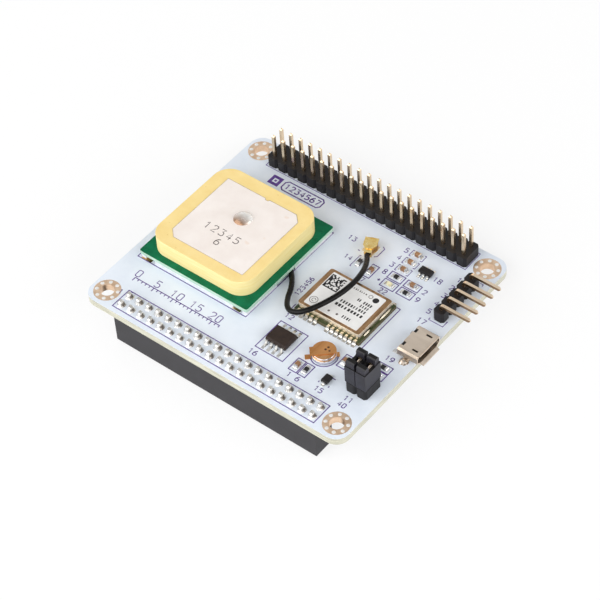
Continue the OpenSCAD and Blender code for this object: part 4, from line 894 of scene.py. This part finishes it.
for u, v in weldLook["places"]:
    c, t = math.cos(weldLook["turn"]), math.sin(weldLook["turn"])
    weldPlaces.append((weldLook["centre"][0] + u * c - v * t, weldLook["centre"][1] + u * t + v * c, cellTop))
scatter("weldMarks", weldPlaces, weldShape, viaLook, weldMark, "terminal_copper")
anchorShape = lathe("anchorShape", [(0, 0.62), (0.3, 0.58), (0.55, 0.4), (0.8, 0.16), (0.98, 0.0)], 18, 0.22, 9)
scatter("anchorSolder", [(30.1, -4.8, boardTop), (30.1, 3.3, boardTop)], anchorShape,
        viaLook, anchorTin, "solder")
print("label and antenna marks made")


# the solids, rounded where their edges show
dress("antenna_ceramic", ceramicBody, "antenna_ceramic", 0.42, 4, 50)
dress("module_can", canMetal, "can_metal", 0.1, 3, 50)
for side in ("left", "right"):
    dress("jumper_cap_" + side, capPlastic, "cap_plastic", 0.12, 2, 60)
    paint("jumper_clip_" + side, contactPlate)

bowLook = {"half": 0.93, "rise": 0.62, "sink": 0.25, "sheet": 0.2, "steps": 12}


def makeClipBows(look):
    # the back sheet of each clip is pressed up into a bow that shows in the dip of its cap
    runs = []
    for side in ("left", "right"):
        low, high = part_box("jumper_clip_" + side)
        right, middle, top = high.x / mm, (low.y + high.y) / 2 / mm, high.z / mm
        left, run = right - look["sheet"], []
        for i in range(look["steps"] + 1):
            t = 2 * i / look["steps"] - 1
            y, foot, crown = middle + t * look["half"], top - look["sink"], top + look["rise"] * (1 - t * t)
            run.append([(left, y, foot), (right, y, foot), (right, y, crown), (left, y, crown)])
        runs.append(run)
    solidFrom("clipBows", runs, clipSpring, "contact_metal")


makeClipBows(bowLook)
roundedSolids = {
    "memory_body": (chipMoulding, "chip_moulding", 0.06), "regulator_body": (darkMoulding, "chip_moulding", 0.05),
    "diode_body": (darkMoulding, "chip_moulding", 0.05), "rear_header_base": (headerPlastic, "header_plastic", 0.06),
    "side_header_base": (headerPlastic, "header_plastic", 0.06), "jumper_base": (headerPlastic, "header_plastic", 0.06),
    "backup_cell": (cellPlate, "can_silver", 0.12), "port_shell": (shellNickel, "shell_metal", 0.05),
    "inductor": (inductorClay, "capacitor_ceramic", 0.06), "indicator_light": (lampResin, "light_resin", 0.05),
}
roundedSolids.update({"capacitor_%d" % i: (capacitorClay, "capacitor_ceramic", 0.05) for i in range(1, 8)})
roundedSolids.update({"resistor_%d" % i: (resistorGlaze, "resistor_glaze", 0.03) for i in range(1, 6)})
for name, (mat, slot, rounding) in roundedSolids.items():
    dress(name, mat, slot, rounding)

solidFinishes = {
    "circuit_board": boardMask, "mounting_pads": platedRing, "socket_housing": socketPlastic,
    "socket_contacts": tinnedLead, "rear_header_pins": rearPlate, "antenna_pad": padFoam,
    "antenna_board": antennaMask, "antenna_electrode": silverPaste, "antenna_feed": feedSolder,
    "coax_plug": plugBrass, "coax_receptacle": receptacleGold, "module_board": moduleMask,
    "module_label": labelPaper, "module_solder": edgeTin, "receiver_chip": chipMoulding,
    "reference_oscillator": canSilver, "band_filter": canSilver, "memory_leads": tinnedLead,
    "cell_top_terminal": terminalPaintedReflection, "cell_base_terminal": terminalPaintedReflection, "diode_leads": tinnedLead,
    "jumper_pins": pinPlate, "port_insulator": headerPlastic,
    "port_contacts": contactPlate, "side_header_pins": sidePlate, "regulator_leads": tinnedLead,
    "chip_terminals": solderJoint,
}
for name, mat in solidFinishes.items():
    paint(name, mat)
print("solids finished")


# floor: the part rests on the socket's rear foot and the rear pin tails
socketBox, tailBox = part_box("socket_housing"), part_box("rear_header_pins")
floorLook = {"size": 6.0, "drop": 0.00002, "glow": 0.76}


def larger(tree, first, second):
    return addNode(tree, "ShaderNodeMath", {0: first, 1: second}, operation="MAXIMUM").outputs[0]


def makeFloor(look):
    front = Vector((0, socketBox[1].y, socketBox[0].z))
    back = Vector((0, tailBox[1].y, tailBox[0].z))
    along = (back - front).normalized()
    up = Vector((1, 0, 0)).cross(along).normalized()
    middle = (front + back) / 2 - up * look["drop"]
    half = look["size"] / 2
    corners = [middle + Vector((1, 0, 0)) * half * sx + along * half * sy
               for sx, sy in ((-1, -1), (1, -1), (1, 1), (-1, 1))]
    floor = meshObject("paleFloor", corners, (), [(0, 1, 2, 3)])
    mat = bpy.data.materials.new("paleFloor")
    mat.use_nodes = True
    tree = mat.node_tree
    shader = tree.nodes["Principled BSDF"]
    coords = addNode(tree, "ShaderNodeTexCoord").outputs["Object"]
    tone = ramp(tree, noiseFrom(tree, coords, 9, 3.0), [(0.3, (0.9, 0.9, 0.9, 1)), (0.7, (0.92, 0.92, 0.92, 1))])
    setInputs(tree, shader, {"Base Color": tone, "Roughness": 0.8, "Specular IOR Level": 0.1})
    path = addNode(tree, "ShaderNodeLightPath").outputs
    seen = larger(tree, larger(tree, path["Is Camera Ray"], path["Is Glossy Ray"]), path["Is Transmission Ray"])
    share = addNode(tree, "ShaderNodeMath", {0: seen, 1: look["glow"]}, operation="MULTIPLY").outputs[0]
    glow = addNode(tree, "ShaderNodeEmission", {"Strength": 1.0}).outputs[0]
    mix = addNode(tree, "ShaderNodeMixShader", {0: share, 1: shader.outputs[0], 2: glow})
    setInputs(tree, tree.nodes["Material Output"], {"Surface": mix.outputs[0]})
    floor.data.materials.append(mat)


makeFloor(floorLook)

# light: a broad soft box low in front, a weaker one at the right, an even room round them
lightLook = {
    "room": 0.42,
    "overhead": 0.5,
    "key": {"from": (-0.32, -0.75, 0.45), "size": (1.6, 0.9), "power": 11.2},
    "side": {"from": (0.8, -0.05, 0.34), "size": (1.4, 0.65), "power": 6.4},
}


def makeLight(name, look):
    data = bpy.data.lights.new(name, "AREA")
    data.shape = "RECTANGLE"
    data.size, data.size_y = look["size"]
    data.energy = look["power"]
    lamp = bpy.data.objects.new(name, data)
    scene.collection.objects.link(lamp)
    lamp.location = look["from"]
    lamp.rotation_euler = (-Vector(look["from"])).to_track_quat("-Z", "Y").to_euler()


def makeRoom(look):
    # white to the camera; metal sees white low down and a greyer room overhead
    world = bpy.data.worlds.new("studioRoom")
    scene.world = world
    world.use_nodes = True
    tree = world.node_tree
    path = addNode(tree, "ShaderNodeLightPath").outputs
    clear = larger(tree, path["Is Camera Ray"], path["Is Transmission Ray"])
    height = partOf(tree, addNode(tree, "ShaderNodeTexCoord").outputs["Generated"], "Z")
    rise = spread(tree, height, 1.0, look["overhead"], 0.15, 0.95)
    level = spread(tree, clear, look["room"], 1.0, 0, 1)
    strength = addNode(tree, "ShaderNodeMix", {0: path["Is Glossy Ray"], 2: level, 3: rise}, data_type="FLOAT")
    setInputs(tree, tree.nodes["Background"], {"Color": (1, 1, 1, 1), "Strength": strength.outputs[0]})


makeRoom(lightLook)
makeLight("keyLight", lightLook["key"])
makeLight("sideLight", lightLook["side"])
scene.view_settings.view_transform = "Standard"

print("scene ready")
